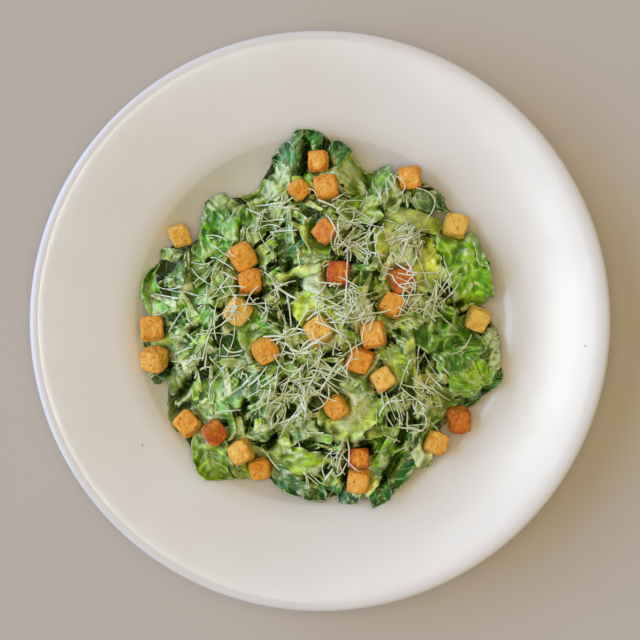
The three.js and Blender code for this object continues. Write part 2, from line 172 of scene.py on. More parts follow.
# Leaves that lie on top, by where they are in the salad.
TOP_LEAVES = {
    "north_dark_curl": Leaf(-9.5, 88.5, 29, 27, 82, 0, 7, "dark", 1.0, 0.1, 0.0, 0.35),
    "north_pale": Leaf(17, 78, 28, 20, 131, 1, 6, "fresh", 0.4, 0.2, 1.0, 0, 0, 5),
    "north_west_dark": Leaf(-18, 83, 23, 17, 110, -1, 7, "dark", 1.2, 0.2, 0.4, 0),
    "north_small_dark": Leaf(10, 90, 22, 13, 60, -1, 7, "dark", 1.2, 0.1, 0.2, 0),
    "north_spear": Leaf(31, 72, 26, 10, 80, 0, 8, "green", 1.0, 0.3, 0.7, 0),
    "north_east_curl": Leaf(63, 66, 27, 18, 20, 0, 8, "dark", 1.0, 0.2, 0.5, 0.4),
    "north_east_stalk": Leaf(48.5, 52.5, 32, 11, -10, 3, 3, "stalk", -0.5, 0.2, 0.1, 0),
    "east_large_bright": Leaf(77, 27, 37, 28, -67, 1.5, 7, "bright", 0.5, 0.2, 0.2, 0.7),
    "east_yellow": Leaf(53, 29, 30, 21, 100, 2, 7, "yellow", 0.5, 0.3, 0.3, 0),
    "centre_north_yellow": Leaf(36, 38, 26, 18, 100, 2, 7, "yellow", 0.7, 0.4, 0.1, 0),
    "north_bright": Leaf(20, 57, 22, 16, 10, 1, 7, "lime", 0.6, 0.2, 0.9, 0),
    "north_west_corner": Leaf(-52, 60, 25, 24, 100, 1.5, 7, "dressed", 0.5, 0.3, 1.0, 0, 0.8),
    "north_west_bright": Leaf(-54, 45, 28, 21, 60, 1, 7, "green", 0.6, 0.2, -0.1, 0),
    "west_curl": Leaf(-90, 17, 31, 16, 103, 0, 7, "green", 1.2, 0.6, 0.1, 0.6),
    "west_bright": Leaf(-66, 4, 34, 26, 80, 0, 7, "green", 0.5, 0.3, 0.5, 0),
    "west_pointed": Leaf(-68, -19, 26, 17, -100, 1.5, 6, "cream", 0.4, 0.4, 0.9, 0, 0.9),
    "south_west_dressed": Leaf(-54, -40, 34, 26, 30, 0, 7, "dressed", 0.5, 0.3, 0.5, 0),
    "south_west_olive": Leaf(-45, -76, 24, 16, -62, -1, 6, "olive", 0.4, 0.2, 0.1, 0),
    "south_west_rim": Leaf(-57, -73, 28, 21, -75, 0, 7, "olive", 0.6, 0.2, -0.2, 0),
    "south_ruffled": Leaf(-10, -75, 30, 23, -4, 1.5, 4, "fresh", 0.5, 0.1, 0.3, 0, 0, 5),
    "south_pale": Leaf(16, -49, 35, 22, 42, 2, 6, "pale", 0.4, 0.9, 0.1, 0),
    "south_bright": Leaf(37, -66, 34, 17, 65, 0, 7, "bright", 0.9, 0.3, 0.5, 0.5),
    "south_east_dark": Leaf(43, -75, 42, 15, 60, -1, 6, "dark", 0.9, 0.2, 0.5, 0),
    "south_east_chip": Leaf(55, -73, 19, 12, -55, 0, 6, "cream", 0.3, 0.5, 0.4, 0, 0.5),
    "east_dark_side": Leaf(89, -32, 18, 11, 40, -1, 7, "dark", 1.2, 0.2, 0.3, 0.5),
    "east_dark_tip": Leaf(81, -41, 25, 17, -68, 1, 7, "dark", 1.0, 0.2, 0.2, 0.5, 0.4),
    "east_pointed": Leaf(88, -16, 28, 19, 62, 2, 7, "olive", 0.5, 0.3, 1.4, 0, 0.3),
    "east_ribbed": Leaf(75.5, -25.5, 26, 24, 128, 2.5, 6, "bright", 0.5, 0.1, 0.4, 0, 0, 7),
    "east_broad": Leaf(66, -9, 36, 28, -50, 0, 7, "green", 0.7, 0.2, 0.2, 0),
    "east_stalk_strip": Leaf(46, -20, 40, 7, 95, 1, 6, "stalk", -0.6, 0.3, 0.1, 0),
    "south_east_stalk": Leaf(57, -33, 17, 13, 10, 3, 5, "beige", -0.7, 0.2, 0.3, 0),
    "south_east_olive": Leaf(62, -46, 22, 13, 20, 0, 7, "dressed", 0.6, 0.4, 0.6, 0),
    "centre_cup": Leaf(-1, 1, 32, 25, 120, 0, 7, "yellow", 0.9, 0.4, 0.0, 0),
    "centre_north_olive": Leaf(-4, 34, 22, 19, 70, 0, 7, "olive", 0.7, 0.3, 0.3, 0),
    "centre_east_bright": Leaf(38, -20, 23, 11, -45, 1, 7, "fresh", 0.7, 0.3, 0.1, 0),
    "south_small_pale": Leaf(-3, -88, 24, 15, -80, -1, 7, "dark", 0.9, 0.3, 0.6, 0),
    "south_small_dark": Leaf(13, -86, 22, 15, -70, -1, 7, "dark", 1.0, 0.2, 0.4, 0),
    "south_edge_dark": Leaf(30, -88, 24, 16, -65, -1, 7, "dark", 1.1, 0.2, 0.2, 0),
    "north_west_inner": Leaf(-36, 51, 30, 20, 40, 0, 7, "green", 0.6, 0.3, 0.6, 0),
    "north_west_olive": Leaf(-32, 65, 25, 18, 120, 0, 7, "olive", 0.7, 0.3, 0.6, 0),
    "west_inner": Leaf(-36, -8, 30, 24, -30, 0, 7, "green", 0.7, 0.3, 0.5, 0),
    "south_west_inner": Leaf(-24, -40, 32, 24, 150, 0, 7, "green", 0.7, 0.3, 0.2, 0),
    "centre_triangle": Leaf(-1, 18, 19, 15, -50, 1.5, 5, "cream", 0.4, 0.5, 0.6, 0, 0.8),
    "centre_arm": Leaf(-11, 24.5, 23, 6.5, 197, 3, 3, "stalk", -0.5, 0.2, 0.0, 0),
    "centre_dark": Leaf(-15, 38, 15, 11, 40, 0.5, 5, "dark", 1.0, 0.2, 0.3, 0.4),
    "north_west_ring": Leaf(-28, 38, 13, 9, 30, 2, 4, "lime", 1.3, 0.2, 0.5, 0.5),
    "west_beige": Leaf(-70, 20, 10, 7, 100, 2, 3, "beige", -0.4, 0.2, 0.4, 0),
    "west_lime": Leaf(-82, -11, 15, 11, 20, 0.5, 5, "lime", 0.7, 0.2, 0.2, 0),
    "south_white": Leaf(20, -38, 15, 10, 20, 2.5, 3, "cream", 0.4, 0.6, 1.6, 0, 0.4),
    "north_east_pale": Leaf(38, 67, 21, 12, 75, 1.5, 5, "dressed", 0.6, 0.2, 1.0, 0),
    "south_dressed": Leaf(-12, -56, 20, 13, 20, 1, 5, "dressed", 0.5, 0.2, 1.0, 0),
    "east_dressed": Leaf(51, 5, 22, 15, 25, 0.5, 5, "dressed", 0.6, 0.2, 1.2, 0),
    "centre_dressed": Leaf(20, 5, 21, 14, -60, 1, 5, "cream", 0.5, 0.2, 1.0, 0),
    "east_pale": Leaf(41, 29, 23, 16, 75, 1.5, 5, "cream", 0.5, 0.2, 0.8, 0),
    "west_shade": Leaf(-37, -27, 24, 13, 85, 0.5, 5, "dark", 0.8, 0.2, 0.5, 0),
    "south_west_shade": Leaf(-27, -46, 18, 11, 60, 0.3, 5, "dark", 0.8, 0.2, 0.5, 0),
    "north_west_pale": Leaf(-22, 73, 19, 13, 60, 0.5, 5, "dressed", 0.6, 0.2, 1.2, 0),
    "west_pale": Leaf(-50, 18, 20, 14, 80, 1, 5, "dressed", 0.6, 0.2, 1.0, 0),
    "south_shade": Leaf(11, -70, 17, 9, 80, 0, 5, "dark", 0.8, 0.2, 0.3, 0),
    "south_low": Leaf(-18, -84, 25, 13, -40, -1, 5, "dark", 0.8, 0.2, 0.4, 0),
}

# The colours that the looser leaves between them take.
FILLER_COLOURS = (
    "dark", "dark", "green", "green", "green", "bright", "dressed", "dressed", "olive", "lime", "lime",
    "pale",
)

# The colours of the narrow cut ribbons on top.
RIBBON_COLOURS = (
    "cream", "cream", "pale", "dressed", "dressed", "dressed", "lime", "stalk", "green", "green", "dark",
    "dark", "bright",
)

# Where the cheese lies thickest: (x, y, reach, share of the shreds, their heading in degrees and
# how far they stray from it). The last one is spread thinly over the whole heap.
CHEESE_DRIFTS = (
    (20, 42, 12, 0.09, 40, 50), (43, 40, 10, 0.07, 60, 50), (60, 17, 12, 0.08, 50, 40),
    (9, 10, 11, 0.06, 20, 60), (45, 24, 9, 0.02, -30, 30), (34, 70, 7, 0.012, 85, 15),
    (14, 58, 12, 0.03, 20, 30), (-26, 55, 13, 0.07, 30, 40), (-60, 11, 20, 0.07, 10, 50),
    (-23, 12, 11, 0.04, 60, 50), (-52, 34, 12, 0.02, 0, 20), (-19, -40, 15, 0.11, 70, 30),
    (-9, -23, 12, 0.045, 20, 50), (-12, -9, 10, 0.03, 20, 50), (62, 6, 8, 0.02, 60, 50),
    (23, 8, 9, 0.05, 70, 50), (50, 6, 9, 0.03, 30, 40), (0, -32, 9, 0.02, 20, 50),
    (-55, -22, 18, 0.04, 60, 50), (-5, -86, 6, 0.01, -60, 30), (7, -16, 13, 0.08, 80, 60),
    (46, -43, 15, 0.075, 120, 40), (8, -74, 8, 0.02, 80, 40), (34, -62, 8, 0.012, 20, 40),
    (57, -24, 9, 0.02, 100, 40), (0, 0, 84, 0.07, 90, 90),
)

# How toasted each crouton is, from 0, pale, to 1, red-brown, in the order of their nodes.
TOAST = (
    0.40, 0.44, 0.40, 0.38, 0.06, 0.30, 0.80, 0.46, 0.60, 0.14, 0.84, 0.90, 0.46, 0.04, 0.32, 0.34,
    0.22, 0.42, 0.36, 0.56, 0.20, 0.48, 0.44, 0.95, 0.28, 0.40, 0.72, 0.34, 0.28, 0.86,
)

# How often each crouton's edges are softened, in the same order: the more, the rounder.
ROUNDING = (
    9, 12, 12, 8, 6, 26, 9, 18, 16, 14, 8, 7, 9, 9, 9, 10, 16, 26, 9, 7, 8, 8, 12, 16, 18, 40, 7, 8, 10, 8,
)

# Small dark marks in the glaze, on the rim: (x, y) in millimetres.
GLAZE_SPECKS = ((-93.7, -65.4), (139.0, -13.1))


# ---- Numbers and noise ----
def hashed(cells, seed):
    """A repeatable number from -1 to 1 for each whole-numbered cell."""
    value = np.full(cells[0].shape, seed * 1013904223, dtype=np.int64)
    for cell, prime in zip(cells, (374761393, 668265263, 2147483647)):
        value = value + cell * prime
    value &= 0xFFFFFFFF
    value = ((value ^ (value >> 13)) * 1274126177) & 0xFFFFFFFF
    return ((value ^ (value >> 16)) & 0xFFFFFF) / float(0x800000) - 1.0


def noise(seed, *axes):
    """Smooth noise from -1 to 1 over one, two or three coordinates."""
    axes = np.broadcast_arrays(*[np.asarray(axis, dtype=float) for axis in axes])
    low = [np.floor(axis).astype(np.int64) for axis in axes]
    share = [axis - cell for axis, cell in zip(axes, low)]
    share = [part * part * (3 - 2 * part) for part in share]
    total = np.zeros(axes[0].shape)
    for corner in range(2 ** len(axes)):
        steps = [(corner >> index) & 1 for index in range(len(axes))]
        weight = np.ones(axes[0].shape)
        for step, part in zip(steps, share):
            weight = weight * (part if step else 1 - part)
        total += weight * hashed([cell + step for cell, step in zip(low, steps)], seed)
    return total


def smoothstep(value, low, high):
    part = np.clip((value - low) / (high - low), 0, 1)
    return part * part * (3 - 2 * part)


def soften(grid, passes):
    """A grid of numbers, blurred a little more with each pass."""
    for _ in range(passes):
        wide = np.pad(grid, 1, mode="edge")
        grid = (wide[:-2, 1:-1] + wide[2:, 1:-1] + wide[1:-1, :-2] + wide[1:-1, 2:]) / 8 + grid / 2
    return grid


# ---- The forms that everything is laid on ----
def bezier(points, steps):
    """Points along a curve of two, three or four control points, without the first."""
    share = np.linspace(0, 1, steps + 1)[1:, None]
    layers = [np.array(point, dtype=float)[None, :] for point in points]
    while len(layers) > 1:
        layers = [one + (other - one) * share for one, other in zip(layers, layers[1:])]
    return [tuple(point) for point in layers[0]]


def plate_section(steps):
    """Half of the plate's section, from the axis under the foot, round the lip and back to the axis."""
    lip, well, top = PLATE_RADIUS, WELL_RADIUS, PLATE_HEIGHT
    inner_foot = FOOT_OUTER_RADIUS - FOOT_WIDTH
    inside_foot = (inner_foot - 1, FOOT_RECESS)
    foot_start = (inner_foot + FOOT_ROUNDING, 0)
    foot_end = (FOOT_OUTER_RADIUS - FOOT_ROUNDING, 0)
    over_foot = (FOOT_OUTER_RADIUS + 1, FOOT_RECESS + 1)
    under_well = (well + 6, WELL_EDGE_HEIGHT - WALL_THICKNESS)
    under_lip = (lip - LIP_WIDTH, top - WALL_THICKNESS)
    outer_edge = (lip, top - LIP_EDGE_DROP)
    shoulder = (lip - LIP_WIDTH, top - LIP_SHOULDER_DROP)
    well_edge = (well + WELL_ROUNDING, WELL_EDGE_HEIGHT + 0.1)
    well_wall = (well - WELL_WALL_INSET, WELL_EDGE_HEIGHT - WELL_WALL_DROP)
    well_floor = (WELL_FLOOR_RADIUS, WELL_FLOOR_HEIGHT)
    # Each run of the outline: its steps, then the points that a straight line or a curve goes by.
    runs = (
        (steps, (0, FOOT_RECESS), inside_foot),
        (6, inside_foot, (inner_foot - FOOT_ROUNDING, 0), foot_start),
        (2, foot_start, foot_end),
        (6, foot_end, (FOOT_OUTER_RADIUS, 0), over_foot),
        (steps, over_foot, (well - 14, 12), (well - 4, 19.5), under_well),
        (steps, under_well, under_lip),
        (8, under_lip, (lip, top - 4.6), outer_edge),
        (14, outer_edge, (lip, top - 1.5), (lip - 1.6, top - 0.25), shoulder),
        (steps, shoulder, well_edge),
        (12, well_edge, (well + 0.5, WELL_EDGE_HEIGHT - 0.87), well_wall),
        (2 * steps, well_wall, (well - 9.5, 21.5), (well - 18, WELL_FLOOR_HEIGHT + 1.2), well_floor),
        (steps, well_floor, (0, WELL_FLOOR_HEIGHT)),
    )
    points = [(0.0, FOOT_RECESS)]
    for count, *corners in runs:
        points += bezier(corners, count)
    return np.array(points)


SECTION = plate_section(12)
UPPER_SECTION = SECTION[int(np.argmax(SECTION[:, 1])):][::-1]


def plate_top(distance):
    """Height of the plate's upper surface at a distance from its middle."""
    return np.interp(distance, UPPER_SECTION[:, 0], UPPER_SECTION[:, 1])


def heap_reach(angle):
    """How far the heap reaches in a direction, in radians from +X."""
    degrees = np.degrees(angle)
    reach = np.full(np.shape(degrees), HEAP_RADIUS)
    for at, depth, spread in OUTLINE_HOLLOWS:
        away = (degrees - at + 180) % 360 - 180
        reach = reach - depth * np.exp(-((away / spread) ** 2))
    return reach


def heap_top(x, y):
    """Height of the top of the heap, which past the heap's edge is just over the plate."""
    distance = np.hypot(x, y)
    reach = heap_reach(np.arctan2(y, x))
    edge = plate_top(reach) + HEAP_EDGE_RISE
    span_x, span_y, slanting = HEAP_LUMP_SPANS
    waves = np.sin(x / span_x + 0.6) * np.cos(y / span_y - 0.4) + np.sin((x + y) / slanting)
    dome = edge + (HEAP_PEAK_HEIGHT - edge) * (1 - (distance / reach) ** 2) + HEAP_LUMP * waves
    return np.maximum(dome, plate_top(distance) + LEAF_REST)


def drawn_in(x, y):
    """Places in the heap, drawn in where they would reach past the heap's outline."""
    distance = np.maximum(np.hypot(x, y), 1e-6)
    reach = heap_reach(np.arctan2(y, x)) - EDGE_CRUSH
    scale = np.where(distance > reach, (reach + (distance - reach) * CRUSH_SHARE) / distance, 1.0)
    return x * scale, y * scale


def crevice_depth(x, y):
    """How far the leaves dip at a place because of a gap between them."""
    depth = np.zeros(np.shape(x))
    for gap_x, gap_y, length, width, heading in CREVICES:
        turn = math.radians(heading)
        a = (x - gap_x) * math.cos(turn) + (y - gap_y) * math.sin(turn)
        b = (y - gap_y) * math.cos(turn) - (x - gap_x) * math.sin(turn)
        depth = np.maximum(depth, np.exp(-((2 * a / length) ** 4) - (2 * b / width) ** 2))
    return depth * CREVICE_DEPTH


def crouton_nodes():
    return sorted(name for name in frame["nodes"] if name.startswith("crouton_"))


# How far leaves may come up a crouton's side, in millimetres, how steeply they may rise away from it,
# and the share of its half width that counts as under it.
CROUTON_SINK = 1.6
CROUTON_SLOPE = 1.8
CROUTON_SHARE = 0.9


def crouton_ceiling(x, y):
    """The height that leaves stay under, so that each crouton lies free on top of them."""
    ceiling = np.full(np.shape(x), 1e3)
    for name in crouton_nodes():
        low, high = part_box(name)
        middle_x, middle_y = (low.x + high.x) / 2 / MM, (low.y + high.y) / 2 / MM
        reach = (high.x - low.x + high.y - low.y) / 4 / MM
        away = np.maximum(np.hypot(x - middle_x, y - middle_y) - reach * CROUTON_SHARE, 0)
        ceiling = np.minimum(ceiling, low.z / MM + CROUTON_SINK + away * CROUTON_SLOPE)
    return ceiling


# How thickly a drift lies that has all the shreds within a millimetre.
FULL_COVER = 1600.0


def cheese_cover(x, y):
    """How thickly cheese lies at a place, from 0 to 1."""
    cover = np.zeros(np.shape(x))
    for drift_x, drift_y, reach, share, _, _ in CHEESE_DRIFTS[:-1]:
        away = np.hypot(x - drift_x, y - drift_y) / reach
        thickness = min(FULL_COVER * share / reach ** 2, 1.0)
        cover = np.maximum(cover, thickness * (1 - smoothstep(away, 0.5, 1.2)))
    return cover


# Painted shade on the leaves in the gaps below others: the cells of a gap, the blur of the level over it,
# the depths in millimetres between which the shade falls, how dark it gets in red, green and blue, and
# how much of the dressing's pale film it hides there.
GAP_CELLS = 4
GAP_BLUR = 8
GAP_SHALLOW = 0.6
GAP_DEEP = 6.0
GAP_SHADE = 0.77
GAP_TINT = (1.04, 0.95, 1.04)
GAP_FILM_SHADE = 3.0


class Relief:
    """The height of all that has been laid so far, on a square grid over the plate, in millimetres."""

    REACH = 116.0
    CELL = 0.8

    def __init__(self):
        self.count = int(2 * self.REACH / self.CELL) + 1
        axis = np.linspace(-self.REACH, self.REACH, self.count)
        x, y = np.meshgrid(axis, axis, indexing="ij")
        self.height = plate_top(np.hypot(x, y))

    def cells(self, x, y, step_x=0, step_y=0):
        """The grid's row and column at each place, or as many steps past them."""
        scale = (self.count - 1) / (2 * self.REACH)
        row = np.clip(np.floor((x + self.REACH) * scale).astype(int) + step_x, 0, self.count - 1)
        column = np.clip(np.floor((y + self.REACH) * scale).astype(int) + step_y, 0, self.count - 1)
        return row, column

    def under(self, x, y):
        return self.height[self.cells(x, y)]

    def lay(self, points):
        """Raises the relief to points of something that is laid on it."""
        x, y, z = points.reshape(-1, 3).T
        for step_x in (0, 1):
            for step_y in (0, 1):
                np.maximum.at(self.height, self.cells(x, y, step_x, step_y), z)

    def lay_piece(self, piece):
        self.lay(point_vectors(piece.data, "co").astype(float) / MM)

    def close_gaps(self, cells):
        """Fills narrow gaps in the relief: each cell takes its surroundings' highest, then their lowest."""
        for pick in (np.maximum, np.minimum):
            for _ in range(cells):
                for axis in (0, 1):
                    ahead, behind = np.roll(self.height, 1, axis), np.roll(self.height, -1, axis)
                    self.height = pick(self.height, pick(ahead, behind))

    def canopy(self):
        """The general level of the leaves: the relief with its gaps bridged and its steps blurred."""
        general = Relief()
        general.height = self.height.copy()
        general.close_gaps(GAP_CELLS)
        general.height = soften(general.height, GAP_BLUR)
        return general


# ---- Making meshes ----
def new_object(name, data):
    """An object in the scene, at the origin."""
    made = bpy.data.objects.new(name, data)
    bpy.context.scene.collection.objects.link(made)
    return made


def point_vectors(mesh, field):
    """A vector of each of a mesh's points, such as its place or its normal."""
    values = np.empty(len(mesh.vertices) * 3, np.float32)
    mesh.vertices.foreach_get(field, values)
    return values.reshape(-1, 3)


def add_attribute(mesh, name, kind, field, values):
    """Stores a value for each of a mesh's points, for its material or its tree."""
    attribute = mesh.attributes.new(name, kind, "POINT")
    attribute.data.foreach_set(field, values.astype(np.float32).reshape(-1))


def shade_smooth(mesh):
    mesh.polygons.foreach_set("use_smooth", np.ones(len(mesh.polygons), dtype=bool))


class Patchwork:
    """Points, faces and their looks gathered from many small sheets, for one mesh."""

    def __init__(self):
        self.points, self.faces, self.maps, self.colours, self.looks = [], [], [], [], []
        self.count = 0

    def add(self, points, faces, places, colours, looks):
        self.points.append(points)
        self.faces.append(faces + self.count)
        self.maps.append(places)
        self.colours.append(colours)
        self.looks.append(looks)
        self.count += len(points)

    def darken_gaps(self, canopy):
        """Paints shade on what lies deep under the general level of the leaves, and hides its dressing's
        pale film there.
        """
        for number, points in enumerate(self.points):
            depth = canopy.under(points[:, 0], points[:, 1]) - points[:, 2]
            shade = GAP_SHADE * smoothstep(depth, GAP_SHALLOW, GAP_DEEP)[:, None]
            self.colours[number] = self.colours[number] * (1 - shade * np.array(GAP_TINT))
            self.looks[number] = self.looks[number] - shade * np.array([0, 0, GAP_FILM_SHADE])

    def piece(self, name):
        points, faces = np.concatenate(self.points), np.concatenate(self.faces)
        piece = quad_piece(name, points, faces)
        places = np.concatenate(self.maps)[faces.reshape(-1)]
        layer = piece.data.uv_layers.new(name="leaf_map")
        layer.data.foreach_set("uv", places.astype(np.float32).reshape(-1))
        colours = np.concatenate(self.colours)
        rows = np.concatenate([colours, np.ones((len(colours), 1))], axis=1)
        add_attribute(piece.data, "leaf_colour", "FLOAT_COLOR", "color", rows)
        add_attribute(piece.data, "leaf_look", "FLOAT_VECTOR", "vector", np.concatenate(self.looks))
        return piece


def quad_piece(name, points, faces):
    """An object of four-sided faces, from points in millimetres, with smooth shading."""
    mesh = bpy.data.meshes.new(name)
    mesh.vertices.add(len(points))
    mesh.vertices.foreach_set("co", (points * MM).astype(np.float32).reshape(-1))
    mesh.loops.add(faces.size)
    mesh.loops.foreach_set("vertex_index", faces.astype(np.int32).reshape(-1))
    mesh.polygons.add(len(faces))
    mesh.polygons.foreach_set("loop_start", np.arange(0, faces.size, 4, dtype=np.int32))
    mesh.polygons.foreach_set("loop_total", np.full(len(faces), 4, dtype=np.int32))
    mesh.update(calc_edges=True)
    mesh.validate()
    shade_smooth(mesh)
    return new_object(name, mesh)


def turned_piece(name, rings, start, end, downward=False):
    """A closed turned form, from rings of points and the two points on the axis that close its poles.

    The rings run up the outside from under it, or from its top down where `downward` says so.
    """
    sectors = len(rings[0])
    points = np.concatenate([*rings, [start], [end]])
    index = np.arange(len(rings) * sectors).reshape(len(rings), sectors)
    after = np.roll(index, -1, axis=1)
    faces = np.stack([index[:-1], after[:-1], after[1:], index[1:]], axis=-1).reshape(-1, 4)
    polygons = [tuple(face) for face in faces.tolist()]
    first, last = len(points) - 2, len(points) - 1
    for sector in range(sectors):
        polygons.append((first, int(after[0, sector]), int(index[0, sector])))
        polygons.append((last, int(index[-1, sector]), int(after[-1, sector])))
    if downward:
        polygons = [(face[0], *face[:0:-1]) for face in polygons]
    mesh = bpy.data.meshes.new(name)
    mesh.from_pydata([tuple(point) for point in points * MM], [], polygons)
    shade_smooth(mesh)
    return new_object(name, mesh)


def slab_faces(rows, columns):
    """Faces of a sheet's two layers and of the edge between them, pointing outwards."""
    index = np.arange(rows * columns).reshape(rows, columns)
    corners = [index[:-1, :-1], index[1:, :-1], index[1:, 1:], index[:-1, 1:]]
    upper = np.stack(corners, axis=-1).reshape(-1, 4)
    lower = upper[:, ::-1] + rows * columns
    ring = np.concatenate([index[0, :-1], index[:-1, -1], index[-1, :0:-1], index[:0:-1, 0]])
    after = np.roll(ring, -1)
    edge = np.stack([ring, after, after + rows * columns, ring + rows * columns], axis=-1)
    return np.concatenate([upper, lower, edge])


def grid_normals(middle):
    """Unit normals of a grid of points."""
    along = np.gradient(middle, axis=0)
    across = np.gradient(middle, axis=1)
    normal = np.cross(along, across)
    return normal / np.maximum(np.linalg.norm(normal, axis=-1, keepdims=True), 1e-9)


# ---- Making materials ----
def new_tree(name):
    material = bpy.data.materials.new(name)
    material.use_nodes = True
    material.node_tree.nodes.clear()
    return material, material.node_tree


def add_node(tree, kind, inputs=None, **settings):
    made = tree.nodes.new(kind)
    for key, value in settings.items():
        setattr(made, key, value)
    for key, value in (inputs or {}).items():
        if isinstance(value, bpy.types.NodeSocket):
            tree.links.new(value, made.inputs[key])
        else:
            made.inputs[key].default_value = value
    return made


def maths(tree, operation, *values):
    made = add_node(tree, "ShaderNodeMath", dict(enumerate(values)), operation=operation)
    return made.outputs[0]


def weighted(tree, *terms):
    """The sum of some values, each given with its weight."""
    total = None
    for value, weight in terms:
        part = maths(tree, "MULTIPLY", value, weight)
        total = part if total is None else maths(tree, "ADD", total, part)
    return total


# Sockets of the node that mixes two colours, by their numbers.
MIX_FACTOR, MIX_FIRST, MIX_SECOND, MIX_RESULT = 0, 6, 7, 2


def blend_colours(tree, factor, first, second):
    inputs = {MIX_FACTOR: factor, MIX_FIRST: first, MIX_SECOND: second}
    return add_node(tree, "ShaderNodeMix", inputs, data_type="RGBA").outputs[MIX_RESULT]


def ramp_between(tree, value, low, high, bottom=0.0, top=1.0):
    """A value turned smoothly from bottom, where it is low, to top, where it is high."""
    inputs = {"Value": value, "From Min": low, "From Max": high, "To Min": bottom, "To Max": top}
    return add_node(tree, "ShaderNodeMapRange", inputs, interpolation_type="SMOOTHSTEP").outputs[0]


def object_noise(tree, size, detail=2.0, offset=0.0):
    """Noise over the piece, with lumps of about `size` metres."""
    place = add_node(tree, "ShaderNodeTexCoord").outputs["Object"]
    moved = add_node(tree, "ShaderNodeMapping", {"Vector": place, "Location": (offset, offset, offset)})
    inputs = {"Vector": moved.outputs[0], "Scale": 1 / size, "Detail": detail}
    return add_node(tree, "ShaderNodeTexNoise", inputs).outputs["Fac"]


def finish_material(tree, height, bump_depth, inputs):
    """Ends a material with its shader, whose relief is `height` times the bump's depth in metres."""
    bump = add_node(tree, "ShaderNodeBump", {"Height": height, "Distance": bump_depth, "Strength": 1.0})
    shader = add_node(tree, "ShaderNodeBsdfPrincipled", {**inputs, "Normal": bump.outputs[0]})
    output = add_node(tree, "ShaderNodeOutputMaterial")
    tree.links.new(shader.outputs[0], output.inputs["Surface"])


def opaque(colour):
    return (*colour, 1.0)


# Sizes of the patterns on a leaf, in metres: how its veins wander and fade, its mottling, how its
# dressing flows and pools, and its fine relief.
VEIN_WANDER = 0.008
VEIN_FADING = 0.012
NET_WARP = 0.0016
NET_FADING = 0.004
MOTTLE = 0.006
FILM_FLOW = 0.02
FILM_POOL = 0.007
LEAF_GRAIN = 0.0012
LEAF_CRINKLE = 0.0025
LEAF_BUMP = 0.0009


def leaf_veins(tree, slant, across, place, paleness, ridged):
    """How much of a vein each place is, and the wave that rises between two side veins.

    The side veins lie in the valleys between the leaf's raised pads, with a fine net between them.
    """
    wave = maths(tree, "PINGPONG", slant, 0.5)
    vein_width = ramp_between(tree, maths(tree, "ABSOLUTE", across), 0.0, 1.1, 0.17, 0.06)
    side_veins = ramp_between(tree, wave, 0.0, 0.16 if ridged else vein_width, 1.0, 0.0)
    strength = ramp_between(tree, object_noise(tree, VEIN_FADING, 2.0, 7.7), 0.38, 0.58, 0.25, 1.0)
    side_veins = maths(tree, "MULTIPLY", side_veins, strength)
    warp = maths(tree, "MULTIPLY", object_noise(tree, NET_WARP, 1.0, 5.2), 0.09)
    warped = add_node(tree, "ShaderNodeVectorMath", {0: place, 1: warp}, operation="ADD").outputs[0]
    net = add_node(
        tree, "ShaderNodeTexVoronoi", {"Vector": warped, "Scale": 7.5, "Randomness": 1.0},
        feature="DISTANCE_TO_EDGE", voronoi_dimensions="2D")
    net_veins = ramp_between(tree, net.outputs["Distance"], 0.0, 0.12, 1.0, 0.0)
    faint = 0.0
    if not ridged:
        faint = ramp_between(tree, object_noise(tree, NET_FADING, 1.0, 6.1), 0.4, 0.6, 0.08, 0.3)
    veins = maths(tree, "MAXIMUM", side_veins, maths(tree, "MULTIPLY", net_veins, faint))
    shown = maths(tree, "SUBTRACT", 1.0, maths(tree, "MULTIPLY", paleness, 0.6))
    return maths(tree, "MULTIPLY", veins, shown), wave


def leaf_film(tree, slant, along, across, dressing):
    """How thick the dressing is: it gathers in patches, and in streaks that follow the veins."""
    vein_way = maths(tree, "ADD", maths(tree, "MULTIPLY", along, 0.6), maths(tree, "ABSOLUTE", across))
    drift = maths(tree, "MULTIPLY", object_noise(tree, FILM_FLOW, 1.0, 4.4), 6.0)
    way = {0: maths(tree, "MULTIPLY", slant, 2.2), 1: vein_way, 2: drift}
    flow = add_node(tree, "ShaderNodeCombineXYZ", way).outputs[0]
    streaks = add_node(tree, "ShaderNodeTexNoise", {"Vector": flow, "Scale": 1.0, "Detail": 3.0})
    pools = object_noise(tree, FILM_POOL, 2.0, 1.9)
    film = weighted(tree, (streaks.outputs["Fac"], 0.65), (pools, 0.35), (dressing, 0.16))
    return ramp_between(tree, film, 0.57, 0.76)


